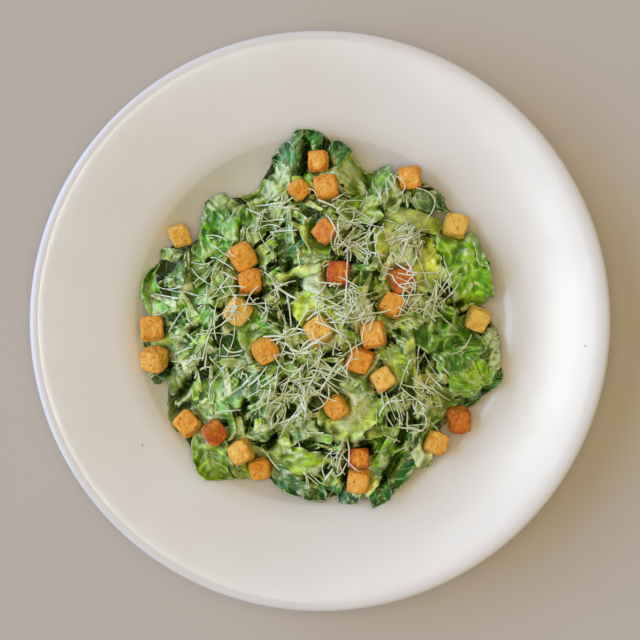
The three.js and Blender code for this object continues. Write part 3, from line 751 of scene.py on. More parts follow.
def leaf_material(settings, name, ridged):
    """Romaine: veins, mottling and a film of dressing, or with ridges, a stalk's fibres along it."""
    material, tree = new_tree(name)
    colour = add_node(tree, "ShaderNodeAttribute", attribute_name="leaf_colour").outputs["Color"]
    look = add_node(tree, "ShaderNodeAttribute", attribute_name="leaf_look").outputs["Vector"]
    slant, paleness, dressing = add_node(tree, "ShaderNodeSeparateXYZ", {0: look}).outputs
    place = add_node(tree, "ShaderNodeUVMap", uv_map="leaf_map").outputs[0]
    along, across, _ = add_node(tree, "ShaderNodeSeparateXYZ", {0: place}).outputs
    if ridged:
        slant = weighted(tree, (across, 7.0), (object_noise(tree, VEIN_WANDER, 1.0), 0.5))
    veins, wave = leaf_veins(tree, slant, across, place, paleness, ridged)

    depth = ramp_between(tree, object_noise(tree, MOTTLE, 3.0, 0.3), 0.3, 0.7, 0.66, 1.34)
    # Painted shade and light on the pads: darker in the valleys by the veins, lighter on the swell between
    # them.
    painted_pad_shade = 1.0 if ridged else ramp_between(tree, wave, 0.0, 0.32, 0.9, 1.06)
    toned = {"Color": colour, "Value": maths(tree, "MULTIPLY", depth, painted_pad_shade), "Saturation": 1.22}
    shade = add_node(tree, "ShaderNodeHueSaturation", toned).outputs[0]
    shade = blend_colours(tree, maths(tree, "MULTIPLY", veins, 0.6), shade, opaque(settings.vein_colour))
    film = leaf_film(tree, slant, along, across, dressing)
    cover = maths(tree, "MULTIPLY", film, settings.dressing)
    shade = blend_colours(tree, cover, shade, opaque(settings.film_colour))

    grain = object_noise(tree, LEAF_GRAIN, 3.0, 2.3)
    crinkle = object_noise(tree, LEAF_CRINKLE, 2.0, 3.1)
    height = weighted(tree, (grain, 0.4), (veins, -0.12), (crinkle, 1.2), (film, 0.35))
    roughness = ramp_between(tree, grain, 0.3, 0.7, settings.leaf_roughness, settings.leaf_roughness + 0.2)
    finish_material(tree, height, LEAF_BUMP, {
        "Base Color": shade,
        "Roughness": roughness,
        "IOR": 1.4,
        "Coat Weight": 0.35,
        "Coat Roughness": 0.12,
        "Subsurface Weight": 0.12,
        "Subsurface Radius": (0.4, 1.0, 0.2),
        "Subsurface Scale": 0.002,
    })
    return material


def plain_material(name, colour, second, size, roughness, bump_depth, bump_size, glow=0.0):
    """A mottled matt finish of two colours, that light passes into as far as its glow says."""
    material, tree = new_tree(name)
    mottle = ramp_between(tree, object_noise(tree, size, 3.0), 0.35, 0.65)
    shade = blend_colours(tree, mottle, opaque(colour), opaque(second))
    height = object_noise(tree, bump_size, 3.0, 1.1)
    finish_material(tree, height, bump_depth, {
        "Base Color": shade,
        "Roughness": roughness,
        "Subsurface Weight": glow,
        "Subsurface Radius": (1.0, 0.9, 0.6),
        "Subsurface Scale": 0.0008,
    })
    return material


# Sizes on toasted bread: patches, crumb and bump in metres, then how many herb flecks and small holes
# there could be to a metre, and how many of those places have no fleck.
TOAST_PATCH = 0.004
TOAST_CRUMB = 0.0011
TOAST_BUMP = 0.00035
HERBS_TO_METRE = 330.0
HOLES_TO_METRE = 1300.0
HERBLESS_SHARE = 0.72


def toast_material(settings):
    """Toasted bread: golden faces, darker edges, pores and herb flecks."""
    material, tree = new_tree("toasted_bread")
    look = add_node(tree, "ShaderNodeAttribute", attribute_name="crust_look").outputs["Vector"]
    toast, edge, pore = add_node(tree, "ShaderNodeSeparateXYZ", {0: look}).outputs
    patches = maths(tree, "SUBTRACT", object_noise(tree, TOAST_PATCH, 3.0), 0.6)
    fine = object_noise(tree, TOAST_CRUMB, 3.0, 0.9)
    crumb = maths(tree, "SUBTRACT", fine, 0.5)
    level = weighted(tree, (toast, 1.0), (patches, 0.9), (crumb, 0.35), (edge, settings.edge_toast))
    lower = ramp_between(tree, level, -0.08, 0.46)
    upper = ramp_between(tree, level, 0.45, 1.1)
    brown = opaque(settings.brown_colour)
    shade = blend_colours(tree, lower, opaque(settings.pale_colour), opaque(settings.golden_colour))
    shade = blend_colours(tree, upper, shade, brown)
    shade = blend_colours(tree, maths(tree, "MULTIPLY", pore, 0.2), shade, brown)
    place = add_node(tree, "ShaderNodeTexCoord").outputs["Object"]
    spots, holes = (
        add_node(tree, "ShaderNodeTexVoronoi", {"Vector": place, "Scale": scale, "Randomness": 1.0}).outputs
        for scale in (HERBS_TO_METRE, HOLES_TO_METRE))
    chance = add_node(tree, "ShaderNodeSeparateColor", {0: spots["Color"]}).outputs[0]
    dot = ramp_between(tree, spots["Distance"], 0.10, 0.2, 1.0, 0.0)
    herb = maths(tree, "MULTIPLY", dot, maths(tree, "GREATER_THAN", chance, HERBLESS_SHARE))
    shade = blend_colours(tree, maths(tree, "MULTIPLY", herb, 0.75), shade, opaque(settings.herb_colour))
    cells = ramp_between(tree, holes["Distance"], 0.1, 0.45)
    height = weighted(tree, (fine, 1.2), (cells, 0.4))
    finish_material(tree, height, TOAST_BUMP, {"Base Color": shade, "Roughness": 0.62})
    return material


SPECK_COLOUR = srgb(92, 84, 74)
SPECK_INNER_RADIUS = 0.0003
SPECK_OUTER_RADIUS = 0.0007


def glaze_material(settings):
    """Warm white glaze over stoneware, with faint clouds and two dark specks."""
    material, tree = new_tree("warm_white_glaze")
    clouds = ramp_between(tree, object_noise(tree, 0.05, 3.0), 0.3, 0.7)
    shade = blend_colours(tree, clouds, opaque(settings.glaze_colour), opaque(settings.cloud_colour))
    place = add_node(tree, "ShaderNodeTexCoord").outputs["Object"]
    for x, y in GLAZE_SPECKS:
        spot = (x * MM, y * MM, float(plate_top(math.hypot(x, y))) * MM)
        away = add_node(tree, "ShaderNodeVectorMath", {0: place, 1: spot}, operation="DISTANCE")
        speck = ramp_between(tree, away.outputs["Value"], SPECK_INNER_RADIUS, SPECK_OUTER_RADIUS, 0.8, 0.0)
        shade = blend_colours(tree, speck, shade, opaque(SPECK_COLOUR))
    ripple = object_noise(tree, 0.03, 2.0, 0.4)
    finish_material(tree, ripple, 0.00008, {"Base Color": shade, "Roughness": settings.glaze_roughness})
    return material


# ---- Settings that a user may change ----
def count_setting(name, description, default, **limits):
    return bpy.props.IntProperty(name=name, description=description, default=default, **limits)


def number_setting(name, description, default, **limits):
    return bpy.props.FloatProperty(name=name, description=description, default=default, **limits)


def length_setting(name, description, default):
    """A length, in metres."""
    return number_setting(name, description, default, unit="LENGTH", subtype="DISTANCE")


def linear_colour_setting(name, description, default):
    """A colour, in the linear values that shaders and lights use."""
    return bpy.props.FloatVectorProperty(
        name=name, description=description, subtype="COLOR", size=3, default=default)


def colour_setting(name, description, red, green, blue):
    """A colour, given as displayed, from 0 to 255."""
    return linear_colour_setting(name, description, srgb(red, green, blue))


# ---- The plate ----
class PlateSettings(bpy.types.PropertyGroup):
    sectors: count_setting("Sectors", "Steps round the plate", 256, min=48)
    glaze_colour: colour_setting("Glaze", "Main colour of the glaze", 222, 218, 209)
    cloud_colour: colour_setting("Clouds", "Colour of faint clouds in it", 225, 222, 215)
    glaze_roughness: number_setting("Roughness", "How much the glaze blurs reflections", 0.13, min=0, max=1)


class SALAD_OT_plate(bpy.types.Operator):
    """Turn the plate from its section"""

    bl_idname = "salad.plate"
    bl_label = "Plate"

    def execute(self, context):
        settings = context.scene.salad_plate
        angles = np.linspace(0, 2 * math.pi, settings.sectors, endpoint=False)
        ring = np.stack([np.cos(angles), np.sin(angles), np.ones(len(angles))], axis=-1)
        rings = [ring * np.array([radius, radius, height]) for radius, height in SECTION[1:-1]]
        plate = turned_piece("plate_glazed", rings, [0, 0, SECTION[0, 1]], [0, 0, SECTION[-1, 1]])
        plate.data.materials.append(glaze_material(settings))
        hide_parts("plate")
        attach(plate, BODY)
        return {"FINISHED"}


# ---- Croutons ----
# How often a crouton's points are smoothed for each step of its rounding, and how much that step then
# grows it, to make up for what the smoothing took.
SMOOTHING_TO_STEP = 7
GROWTH_TO_STEP = 0.0045

# The spans of a crouton's crumb, finer crumb and dents, the finer crumb's weight, the dents' depth,
# and how deep pores and crumb are for a relief of 1.
CRUMB_SPAN = 1.5
FINE_CRUMB_SPAN = 0.8
DENT_SPAN = 3.4
FINE_CRUMB_WEIGHT = 0.7
DENT_DEPTH = 0.55
PORE_DEPTH = 1.1
CRUMB_DEPTH = 0.5


class CroutonSettings(bpy.types.PropertyGroup):
    levels: count_setting("Levels", "Times each face is divided", 4, min=1, max=4)
    relief: length_setting("Relief", "Depth of the crumb's pores", 0.0004)
    edge_toast: number_setting("Edge toast", "Extra toasting on edges", 0.5)
    pale_colour: colour_setting("Pale", "Least toasted bread", 244, 202, 94)
    golden_colour: colour_setting("Golden", "Toasted bread", 234, 158, 44)
    brown_colour: colour_setting("Brown", "Well toasted bread", 186, 72, 12)
    herb_colour: colour_setting("Herb", "Dried herb flecks", 74, 62, 24)


class SALAD_OT_croutons(bpy.types.Operator):
    """Make each crouton over its solid: rounded, porous and unevenly toasted"""

    bl_idname = "salad.croutons"
    bl_label = "Croutons"

    def execute(self, context):
        settings = context.scene.salad_croutons
        material = toast_material(settings)
        for number, name in enumerate(crouton_nodes()):
            crouton = toasted_crouton(frame["nodes"][name], name + "_toasted", number, settings)
            crouton.data.materials.clear()
            crouton.data.materials.append(material)
            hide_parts(name)
            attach(crouton, BODY)
        return {"FINISHED"}


def rounded_copy(solid, name, number, levels):
    """The mesh of a solid, with its faces divided and its edges and corners rounded off."""
    shape = bmesh.new()
    shape.from_mesh(solid.data)
    bmesh.ops.remove_doubles(shape, verts=shape.verts, dist=1e-5)
    bmesh.ops.join_triangles(
        shape, faces=shape.faces, angle_face_threshold=0.5, angle_shape_threshold=3.2, cmp_seam=False,
        cmp_sharp=False, cmp_uvs=False, cmp_vcols=False, cmp_materials=False)
    mesh = bpy.data.meshes.new(name)
    shape.to_mesh(mesh)
    shape.free()
    rough = new_object(name + "_rough", mesh)
    divided = rough.modifiers.new("Divide", "SUBSURF")
    divided.subdivision_type = "SIMPLE"
    divided.levels = divided.render_levels = levels
    rounded = rough.modifiers.new("Round", "SMOOTH")
    rounded.factor = 0.5
    rounded.iterations = SMOOTHING_TO_STEP * ROUNDING[number]
    evaluated = rough.evaluated_get(bpy.context.evaluated_depsgraph_get())
    fine = bpy.data.meshes.new_from_object(evaluated)
    bpy.data.objects.remove(rough)
    fine.name = name
    return fine


def toasted_crouton(solid, name, number, settings):
    """A copy of a crouton's solid, rounded and roughened, with its toasting as an attribute."""
    fine = rounded_copy(solid, name, number, settings.levels)
    points = point_vectors(fine, "co").astype(float) / MM
    normals = point_vectors(fine, "normal")
    low, high = points.min(axis=0), points.max(axis=0)
    middle = (high + low) / 2
    local = points - middle
    half = np.cbrt(np.prod(high - low)) / 2
    out = np.linalg.norm(local, axis=1) / half
    points = middle + local * (1.0 + GROWTH_TO_STEP * ROUNDING[number])
    x, y, z = points.T
    crumb, fine_crumb, dents = (
        noise(number + seed, x / span, y / span, z / span)
        for seed, span in ((40, CRUMB_SPAN), (80, FINE_CRUMB_SPAN), (120, DENT_SPAN)))
    crumb = crumb + FINE_CRUMB_WEIGHT * fine_crumb
    pore = smoothstep(-crumb, 0.35, 0.8)
    depth = settings.relief / MM * (CRUMB_DEPTH * crumb - PORE_DEPTH * pore) + DENT_DEPTH * dents
    points = points + normals * depth[:, None]
    fine.vertices.foreach_set("co", (points * MM).astype(np.float32).reshape(-1))
    edge = smoothstep(out, 1.02, 1.42)
    look = np.stack([np.full(len(points), TOAST[number]), edge, pore], axis=-1)
    add_attribute(fine, "crust_look", "FLOAT_VECTOR", "vector", look)
    shade_smooth(fine)
    fine.update()
    return new_object(name, fine)


# ---- Lettuce ----
VEIN_SPACING = 5.2
FAN_BASE = 0.62
FAN_RIB_PALENESS = 0.6
FOLD_ANGLE = 2.3
FOLD_BEND = 1.8
FOLDED_SHARE = 0.35
STALK_COLOURS = ("stalk", "beige")
STALK_THICKNESS = 2.6
RIB_THICKNESS = 2.2
# How much a leaf's colour is lightened where it swells above its neighbours and darkened where it sinks:
# painted light and shade.
PAINTED_RELIEF_LIGHT = 0.27
UNDERSIDE_SHARE = 0.4

# How a leaf's outline is torn: (depth as a share of its size, waves round it, step of the seed).
TEARS = ((0.18, 2.2, 0), (0.10, 6, 9), (0.03, 14, 4))

# Depths of a leaf's relief in millimetres: pads between side veins and between ribs that fan out,
# blisters, creases, ruffles at the edge, the midrib's groove, and the general swell of a leaf and of a
# stalk. A stalk has only a share of the others.
PAD_DEPTH = 0.9
FAN_PAD_DEPTH = 1.6
BLISTER_DEPTH = 1.1
CREASE_DEPTH = 3.2
RUFFLE_DEPTH = 3.2
RIB_GROOVE = 0.9
LEAF_SWELL = 2.6
STALK_SWELL = 0.3
STALK_ROUGHNESS = 0.25

# How leaves lie, in millimetres: clear of what is below, clear of the plate, and for each of two
# pushes upwards, how widely it is spread and how strong it is.
LEAF_GAP = 0.25
PLATE_GAP = 0.3
PUSHES = ((6.0, 1.0), (1.5, 0.8))
TOP_PUSH = 0.9

# A layer of looser leaves: their lengths, their widths as shares of that and how far they lie over the
# heap, each drawn between two values, then how far they give way to what is below, and their painted
# shade: the share of their colour that is kept, less for the lower layers, where less light reaches.
Layer = namedtuple("Layer", "lengths slimness lifts push shade")
LOW_LAYER = Layer((24, 36), (0.5, 0.8), (-11, -7), 0.5, 0.35)
FILLER_LAYER = Layer((13, 25), (0.4, 0.85), (-6, -1.5), 0.6, 0.8)
SLIVER_LAYER = Layer((9, 22), (0.18, 0.34), (-2, 1.0), 0.8, 1.0)
SCRAP_LAYER = Layer((6, 14), (0.3, 0.8), (0.0, 1.5), TOP_PUSH, 1.0)
RIBBON_LAYER = Layer((8, 19), (0.15, 0.28), (0.0, 2.0), TOP_PUSH, 1.0)
LAYER_INSET = 8.0
SCATTER_INSET = 10.0
GOLDEN_TURN = math.pi * (3 - math.sqrt(5))
LOW_CELL_SCALE = 1.5

# Each leaf has a number, which seeds its form.
FIRST_NUMBER = 100
NUMBER_STEP = 10


class LettuceSettings(bpy.types.PropertyGroup):
    thickness: length_setting("Leaf thickness", "Between the veins", 0.0006)
    fine_cell: length_setting("Fine cell", "Mesh size of top leaves", 0.00065)
    coarse_cell: length_setting("Coarse cell", "Mesh size of leaves below", 0.00095)
    low_leaves: count_setting("Low leaves", "Leaves in the lowest layer", 70, min=0)
    filler_leaves: count_setting("Filler leaves", "Smaller leaves between the top ones", 100, min=0)
    slivers: count_setting("Slivers", "Narrow strips between the top leaves", 120, min=0)
    ribbons: count_setting("Ribbons", "Narrow cut strips on top", 190, min=0)
    scraps: count_setting("Scraps", "Small bits on top of the leaves", 170, min=0)
    seed: count_setting("Seed", "Chooses the loose leaves' forms", 4)
    vein_colour: colour_setting("Veins", "Colour of the veins", 204, 222, 146)
    film_colour: colour_setting("Dressing colour", "Creamy film", 220, 228, 180)
    dressing: number_setting("Dressing", "How much the film hides the leaf", 0.69, min=0, max=1)
    leaf_roughness: number_setting("Roughness", "Lowest roughness of the wet leaf", 0.2, min=0, max=1)


def cross_section(b, leaf):
    """How far out and how high the points of a leaf's cross-sections come, once it curls and folds."""
    half = leaf.width / 2
    middle = (b[:, 1:] + b[:, :-1]) / 2
    steps = np.diff(b, axis=1)
    angle = leaf.curl * middle / half
    if leaf.fold:
        side = math.copysign(1, leaf.fold)
        past = (middle * side - abs(leaf.fold) * half) / FOLD_BEND
        angle = angle + side * FOLD_ANGLE * smoothstep(past, 0, 1)
    out = np.pad(np.cumsum(np.cos(angle) * steps, axis=1), ((0, 0), (1, 0)))
    up = np.pad(np.cumsum(np.sin(angle) * steps, axis=1), ((0, 0), (1, 0)))
    centre = b.shape[1] // 2
    return out - out[:, centre:centre + 1], up - up[:, centre:centre + 1]


# A leaf before it is laid, as grids of its points: its middle surface, its own map in centimetres, how
# strong the midrib is there, how far each point is from the base, at -1, to the tip, at 1, how near it
# is to the edge, from 0 to 1, and how many side veins lie before it.
Sheet = namedtuple("Sheet", "middle places on_rib tipward rim slant")


def leaf_outline(leaf, number, s, t, rim):
    """Where the points of a leaf lie along and across it, with its torn outline."""
    angle = np.arctan2(t, s)
    torn = 1 + rim ** 3 * sum(
        depth * noise(number + step, np.cos(angle) * waves, np.sin(angle) * waves)
        for depth, waves, step in TEARS)
    square = 0.28 + 0.16 * math.sin(number * 2.3)
    if leaf.colour in STALK_COLOURS:
        torn = 1 + (torn - 1) * 0.3
        square = 0.12
    a = leaf.length / 2 * s * np.sqrt(1 - 0.7 * square * t * t) * torn
    b = leaf.width / 2 * t * np.sqrt(1 - square * s * s) * (1 - 0.12 * s) * torn
    return a, b * (1 - leaf.taper * smoothstep(s, -0.7, 1.1))


def leaf_relief(leaf, number, a, b, s, t):
    """Height of a flat leaf's relief, how far each point is on the midrib, and the veins' wave."""
    rib_half = 0.9 + 1.4 * leaf.rib
    on_rib = leaf.rib * np.exp(-((b / rib_half) ** 2)) * smoothstep(-s, -1.0, 0.4)
    blade = 1 - np.exp(-((b / (2 * rib_half)) ** 2)) * min(leaf.rib * 1.4, 1)
    bend = np.abs(b) ** 1.35 / (leaf.width / 2) ** 0.35
    wander = noise(number + 3, a / 9, b / 9)
    if leaf.fan:
        slant = leaf.fan * np.arctan2(b, a + FAN_BASE * leaf.length) + 0.2 * wander
    else:
        slant = (a - 0.9 * bend) / VEIN_SPACING + 0.3 * wander
    pads = np.abs(np.sin(math.pi * slant)) ** 0.6 - 0.6
    beside = slant * VEIN_SPACING
    side = 9 * np.sign(b)
    blisters = noise(number + 1, beside / 2.6, bend / 6 + side)
    blisters = blisters + 0.75 * noise(number + 2, beside / 1.5, bend / 3.6 + side)
    creases = 0.5 - np.abs(noise(number + 11, a / 5.5, b / 4.2))
    ruffle = np.abs(t) ** 2.2 * noise(number + 5, a / 3.8, np.sign(b) * 3 + b / 16)
    ruffle = ruffle + smoothstep(s, 0.4, 1.0) * 0.7 * noise(number + 6, b / 3.8, a / 14)
    stalk = leaf.colour in STALK_COLOURS
    rough = STALK_ROUGHNESS if stalk else 1.0
    pad_depth = FAN_PAD_DEPTH if leaf.fan else PAD_DEPTH
    height = blade * rough * (pad_depth * pads + BLISTER_DEPTH * blisters + CREASE_DEPTH * creases)
    height = height + RUFFLE_DEPTH * rough * ruffle - RIB_GROOVE * on_rib
    swell = STALK_SWELL if stalk else LEAF_SWELL
    return height + swell * noise(number + 7, a / 15, b / 15), on_rib, slant


def leaf_sheet(leaf, number, cell):
    """A leaf before it is laid: torn, blistered and ruffled, with curling sides and a lean of its own."""
    rows = max(int(leaf.length / cell), 8) + 1
    columns = max(int(leaf.width / cell) // 2 * 2, 6) + 1
    s = np.linspace(-1, 1, rows)[:, None] * np.ones((1, columns))
    t = np.linspace(-1, 1, columns)[None, :] * np.ones((rows, 1))
    rim = np.maximum(np.abs(s), np.abs(t))
    a, b = leaf_outline(leaf, number, s, t, rim)
    h, on_rib, slant = leaf_relief(leaf, number, a, b, s, t)

    b, up = cross_section(b, leaf)
    h = h * np.cos(np.clip(leaf.curl * t, -1.2, 1.2)) + up
    shear = 0.22 * math.sin(number * 3.1)
    rough = STALK_ROUGHNESS if leaf.colour in STALK_COLOURS else 1.0
    b = b + rough * shear * a * 0.5 + 0.06 * leaf.width * math.sin(number * 1.7) * (s * s - 0.4)
    droop = 0.5 / (leaf.length / 2)
    h = h - (1 - np.cos(droop * a)) / droop

    turn = math.radians(leaf.heading)
    px = leaf.x + math.cos(turn) * a - math.sin(turn) * b
    py = leaf.y + math.sin(turn) * a + math.cos(turn) * b
    px, py = drawn_in(px, py)
    roll = 0.28 * math.sin(number * 4.7)
    z = heap_top(px, py) + leaf.lift + leaf.rise / 2 * s + roll * b + h
    places = np.stack([a / 10, leaf.width / 2 * t / 10], axis=-1)
    return Sheet(np.stack([px, py, z], axis=-1), places, on_rib, s, rim, slant)


def tinted(colours, other, share, shade):
    """Colours, moved by a share at each point towards another colour in its shade."""
    return colours + (np.array(other) * shade - colours) * share[..., None]


def leaf_looks(leaf, number, cell, sheet, shade):
    """The colour of each point of a laid leaf, with painted light and shade, and its vein wave, paleness
    and dressing.
    """
    inner, outer = (np.array(colour) for colour in LEAF_COLOURS[leaf.colour])
    tone, warmth = (float(hashed([np.array(number)], seed)) for seed in (21, 22))
    px, py, z = np.moveaxis(sheet.middle, -1, 0)
    along, across = np.moveaxis(sheet.places, -1, 0)
    # Painted light and shade: each point is lighter and warmer where the leaf swells above its neighbours,
    # and darker and cooler where it sinks.
    swell = z - soften(z, int(14 / cell ** 2))
    ridge = z - soften(z, int(3 / cell ** 2))
    lit = np.clip(1 + PAINTED_RELIEF_LIGHT * swell, 0.5, 1.5)[..., None]
    patches = noise(number + 8, along * 1.6, across * 1.6) + 0.5 * noise(number + 12, along * 4, across * 4)
    out = np.clip(0.2 + 0.5 * sheet.rim ** 2 + 0.25 * sheet.tipward + 0.55 * patches, 0, 1)
    top = inner + (outer - inner) * out[..., None]
    # Each leaf's random tone and warmth, times the painted shade of its layer.
    top = top * (1 + 0.14 * tone) * np.array([1 + 0.08 * warmth, 1.0, 1.0]) * shade
    top = top * lit ** np.array([1.25, 1.0, 0.9])

    paleness = np.clip(1.3 * sheet.on_rib ** 0.7 + 0.2 * smoothstep(-sheet.tipward, 0.2, 1.0), 0, 1)
    top = tinted(top, RIB_COLOUR, 0.8 * paleness, shade)
    # The leaf's edge: the pale colour of the cut, and partly a painted highlight where the edge catches the
    # light.
    top = tinted(top, EDGE_CUT_AND_HIGHLIGHT_COLOUR, 0.55 * smoothstep(sheet.rim, 0.9, 1.0), shade)
    cover = cheese_cover(px, py)
    # Painted highlight on the crests of the crinkles, leaves paler under the cheese, and the pale lines of
    # ribs that fan out.
    crest_highlight = DARK_CREST_PAINTED_HIGHLIGHT if leaf.colour == "dark" else CREST_PAINTED_HIGHLIGHT
    highlight_and_paleness = crest_highlight * smoothstep(ridge, 0.05, 0.55) + 0.4 * cover
    if leaf.fan:
        rib_line = smoothstep(np.abs(sheet.slant - np.round(sheet.slant)), 0.26, 0.02)
        highlight_and_paleness = np.maximum(highlight_and_paleness, FAN_RIB_PALENESS * rib_line * smoothstep(sheet.rim, 1.0, 0.7))
    top = tinted(top, CREST_HIGHLIGHT_AND_PALENESS_COLOUR, highlight_and_paleness, shade)
    # The dressing's pale film lies thicker on the crests, partly as painted highlight, thinner in the
    # hollows, and thicker where the cheese lies.
    dressing = leaf.dressing + np.clip(1.1 * ridge, -1.2, 1.2) + 0.7 * cover
    return top, np.stack([sheet.slant, paleness, dressing], axis=-1)


class LeafHeap:
    """The leaves that have been laid so far: their relief, and the patchwork of each kind."""

    def __init__(self, core, thickness):
        self.relief = Relief()
        self.relief.lay_piece(core)
        self.thickness = thickness
        self.number = FIRST_NUMBER
        self.patchworks = {name: Patchwork() for name in sorted(set(PATCHWORK_OF.values()))}

    def settle(self, middle, cell, push):
        """Moves a leaf's middle surface up off what is below it, and down from under the croutons."""
        px, py = middle[..., 0], middle[..., 1]
        for spread, share in PUSHES:
            lack = self.relief.under(px, py) + LEAF_GAP + self.thickness / 2 - middle[..., 2]
            middle[..., 2] += push * share * soften(np.maximum(lack, 0), int(spread / cell ** 2))
        middle[..., 2] = np.minimum(middle[..., 2], crouton_ceiling(px, py)) - crevice_depth(px, py)
        plate = plate_top(np.hypot(px, py)) + PLATE_GAP + self.thickness / 2
        middle[..., 2] = np.maximum(middle[..., 2], plate)

    def lay(self, leaf, cell, push, shade=1.0):
        """Lays one leaf on what is below it and adds it to its patchwork."""
        sheet = leaf_sheet(leaf, self.number, cell)
        self.settle(sheet.middle, cell, push)
        normal = grid_normals(sheet.middle)
        stalk = STALK_THICKNESS if leaf.colour in STALK_COLOURS else 0.0
        depth = self.thickness + RIB_THICKNESS * sheet.on_rib + stalk * (1 - sheet.rim ** 4)
        upper = sheet.middle + normal * self.thickness / 2
        lower = sheet.middle - normal * (depth - self.thickness / 2)[..., None]
        self.relief.lay(upper)

        top, look = leaf_looks(leaf, self.number, cell, sheet, shade)
        under = tinted(top, UNDERSIDE_COLOUR, np.full(sheet.rim.shape, UNDERSIDE_SHARE), shade)
        points, places, colours, looks = (
            np.concatenate([one.reshape(-1, one.shape[-1]), other.reshape(-1, other.shape[-1])])
            for one, other in ((upper, lower), (sheet.places, sheet.places), (top, under), (look, look)))
        patchwork = self.patchworks[PATCHWORK_OF[leaf.colour]]
        patchwork.add(points, slab_faces(*sheet.rim.shape), places, colours, looks)
        self.number += NUMBER_STEP


def loose_leaf(random, angle, distance, layer):
    """A leaf of no special place, with a form and colour drawn at random."""
    length = random.uniform(*layer.lengths)
    colour = FILLER_COLOURS[random.integers(len(FILLER_COLOURS))]
    fold = 0
    if random.random() < FOLDED_SHARE:
        fold = random.uniform(0.3, 0.7) * random.choice((-1, 1))
    return Leaf(
        x=math.cos(angle) * distance,
        y=math.sin(angle) * distance,
        length=length,
        width=length * random.uniform(*layer.slimness),
        heading=random.uniform(0, 360),
        lift=random.uniform(*layer.lifts),
        rise=random.uniform(4, 12),
        colour=colour,
        curl=random.uniform(0.3, 1.3),
        rib=random.uniform(0, 0.9) ** 2,
        dressing=random.uniform(0.1, 1.0),
        fold=fold,
    )


# Top leaves that no scrap lies on.
CLEAR_LEAVES = (
    "north_dark_curl", "north_pale", "north_small_dark", "north_spear", "north_east_curl",
    "north_east_stalk", "east_large_bright", "north_bright", "north_west_corner", "west_curl",
    "south_west_rim", "south_ruffled", "south_pale", "south_bright", "south_east_dark", "south_east_chip",
    "east_ribbed", "east_dark_tip", "east_pointed", "east_broad", "east_stalk_strip", "south_east_stalk",
    "centre_arm", "centre_cup", "north_west_bright", "centre_north_yellow", "east_yellow",
    "east_dark_side", "centre_triangle", "centre_dark", "north_west_ring", "west_beige", "west_lime",
    "south_white", "south_low", "north_east_pale", "centre_dressed", "west_shade", "south_west_shade",
    "east_pale",
)
CLEAR_SHARE = 0.52


def on_clear_leaf(x, y):
    """Whether a place is on one of the top leaves that stay clear."""
    for name in CLEAR_LEAVES:
        leaf = TOP_LEAVES[name]
        turn = math.radians(leaf.heading)
        a = (x - leaf.x) * math.cos(turn) + (y - leaf.y) * math.sin(turn)
        b = (y - leaf.y) * math.cos(turn) - (x - leaf.x) * math.sin(turn)
        if math.hypot(a / leaf.length, b / leaf.width) < CLEAR_SHARE:
            return True
    return False


# The piece that leaves of each colour are part of.
PATCHWORK_OF = {
    "dark": "leaves_dark", "green": "leaves_green", "bright": "leaves_bright", "lime": "leaves_lime",
    "fresh": "leaves_lime", "olive": "leaves_olive", "dressed": "leaves_dressed", "pale": "leaves_pale",
    "yellow": "leaves_pale", "cream": "leaves_pale", "stalk": "leaf_stalks", "beige": "leaf_stalks",
}


class SALAD_OT_lettuce(bpy.types.Operator):
    """Lay the leaves on the heap's core, from the lowest to the ones on top"""

    bl_idname = "salad.lettuce"
    bl_label = "Lettuce"

    def execute(self, context):
        settings = context.scene.salad_lettuce
        core = heap_core()
        heap = LeafHeap(core, settings.thickness / MM)
        self.lay_leaves(heap, settings)
        canopy = heap.relief.canopy()
        for name, patchwork in heap.patchworks.items():
            patchwork.darken_gaps(canopy)
            leaves = patchwork.piece(name)
            leaves.data.materials.append(leaf_material(settings, "romaine_" + name, name == "leaf_stalks"))
            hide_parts("lettuce")
            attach(leaves, BODY)
        # The core's dark green is painted shade, which shows through the gaps between the leaves.
        core.data.materials.append(
            plain_material("shaded_core", srgb(20, 34, 14), srgb(44, 66, 30), 0.006, 0.5, 0.0015, 0.004))
        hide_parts("lettuce")
        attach(core, BODY)
        return {"FINISHED"}

    def lay_leaves(self, heap, settings):
        random = np.random.default_rng(settings.seed)
        coarse, fine = settings.coarse_cell / MM, settings.fine_cell / MM
        lower_layers = (
            (settings.low_leaves, LOW_LAYER, coarse * LOW_CELL_SCALE),
            (settings.filler_leaves, FILLER_LAYER, coarse),
            (settings.slivers, SLIVER_LAYER, fine),
        )
        for count, layer, cell in lower_layers:
            for place in random.permutation(count):
                angle = place * GOLDEN_TURN
                distance = (float(heap_reach(angle)) - LAYER_INSET) * math.sqrt((place + 0.5) / count)
                heap.lay(loose_leaf(random, angle, distance, layer), cell, layer.push, layer.shade)
        for leaf in TOP_LEAVES.values():
            heap.lay(leaf, fine, TOP_PUSH)
        for count, layer in ((settings.scraps, SCRAP_LAYER), (settings.ribbons, RIBBON_LAYER)):
            for _ in range(count):
                angle, share = random.uniform(0, 2 * math.pi), math.sqrt(random.uniform(0, 1))
                distance = (float(heap_reach(angle)) - SCATTER_INSET) * share
                leaf = loose_leaf(random, angle, distance, layer)
                if layer is RIBBON_LAYER:
                    colour = RIBBON_COLOURS[random.integers(len(RIBBON_COLOURS))]
                    leaf = leaf._replace(colour=colour, fold=0, taper=0.5)
                if not on_clear_leaf(leaf.x, leaf.y):
                    heap.lay(leaf, fine, layer.push, layer.shade)


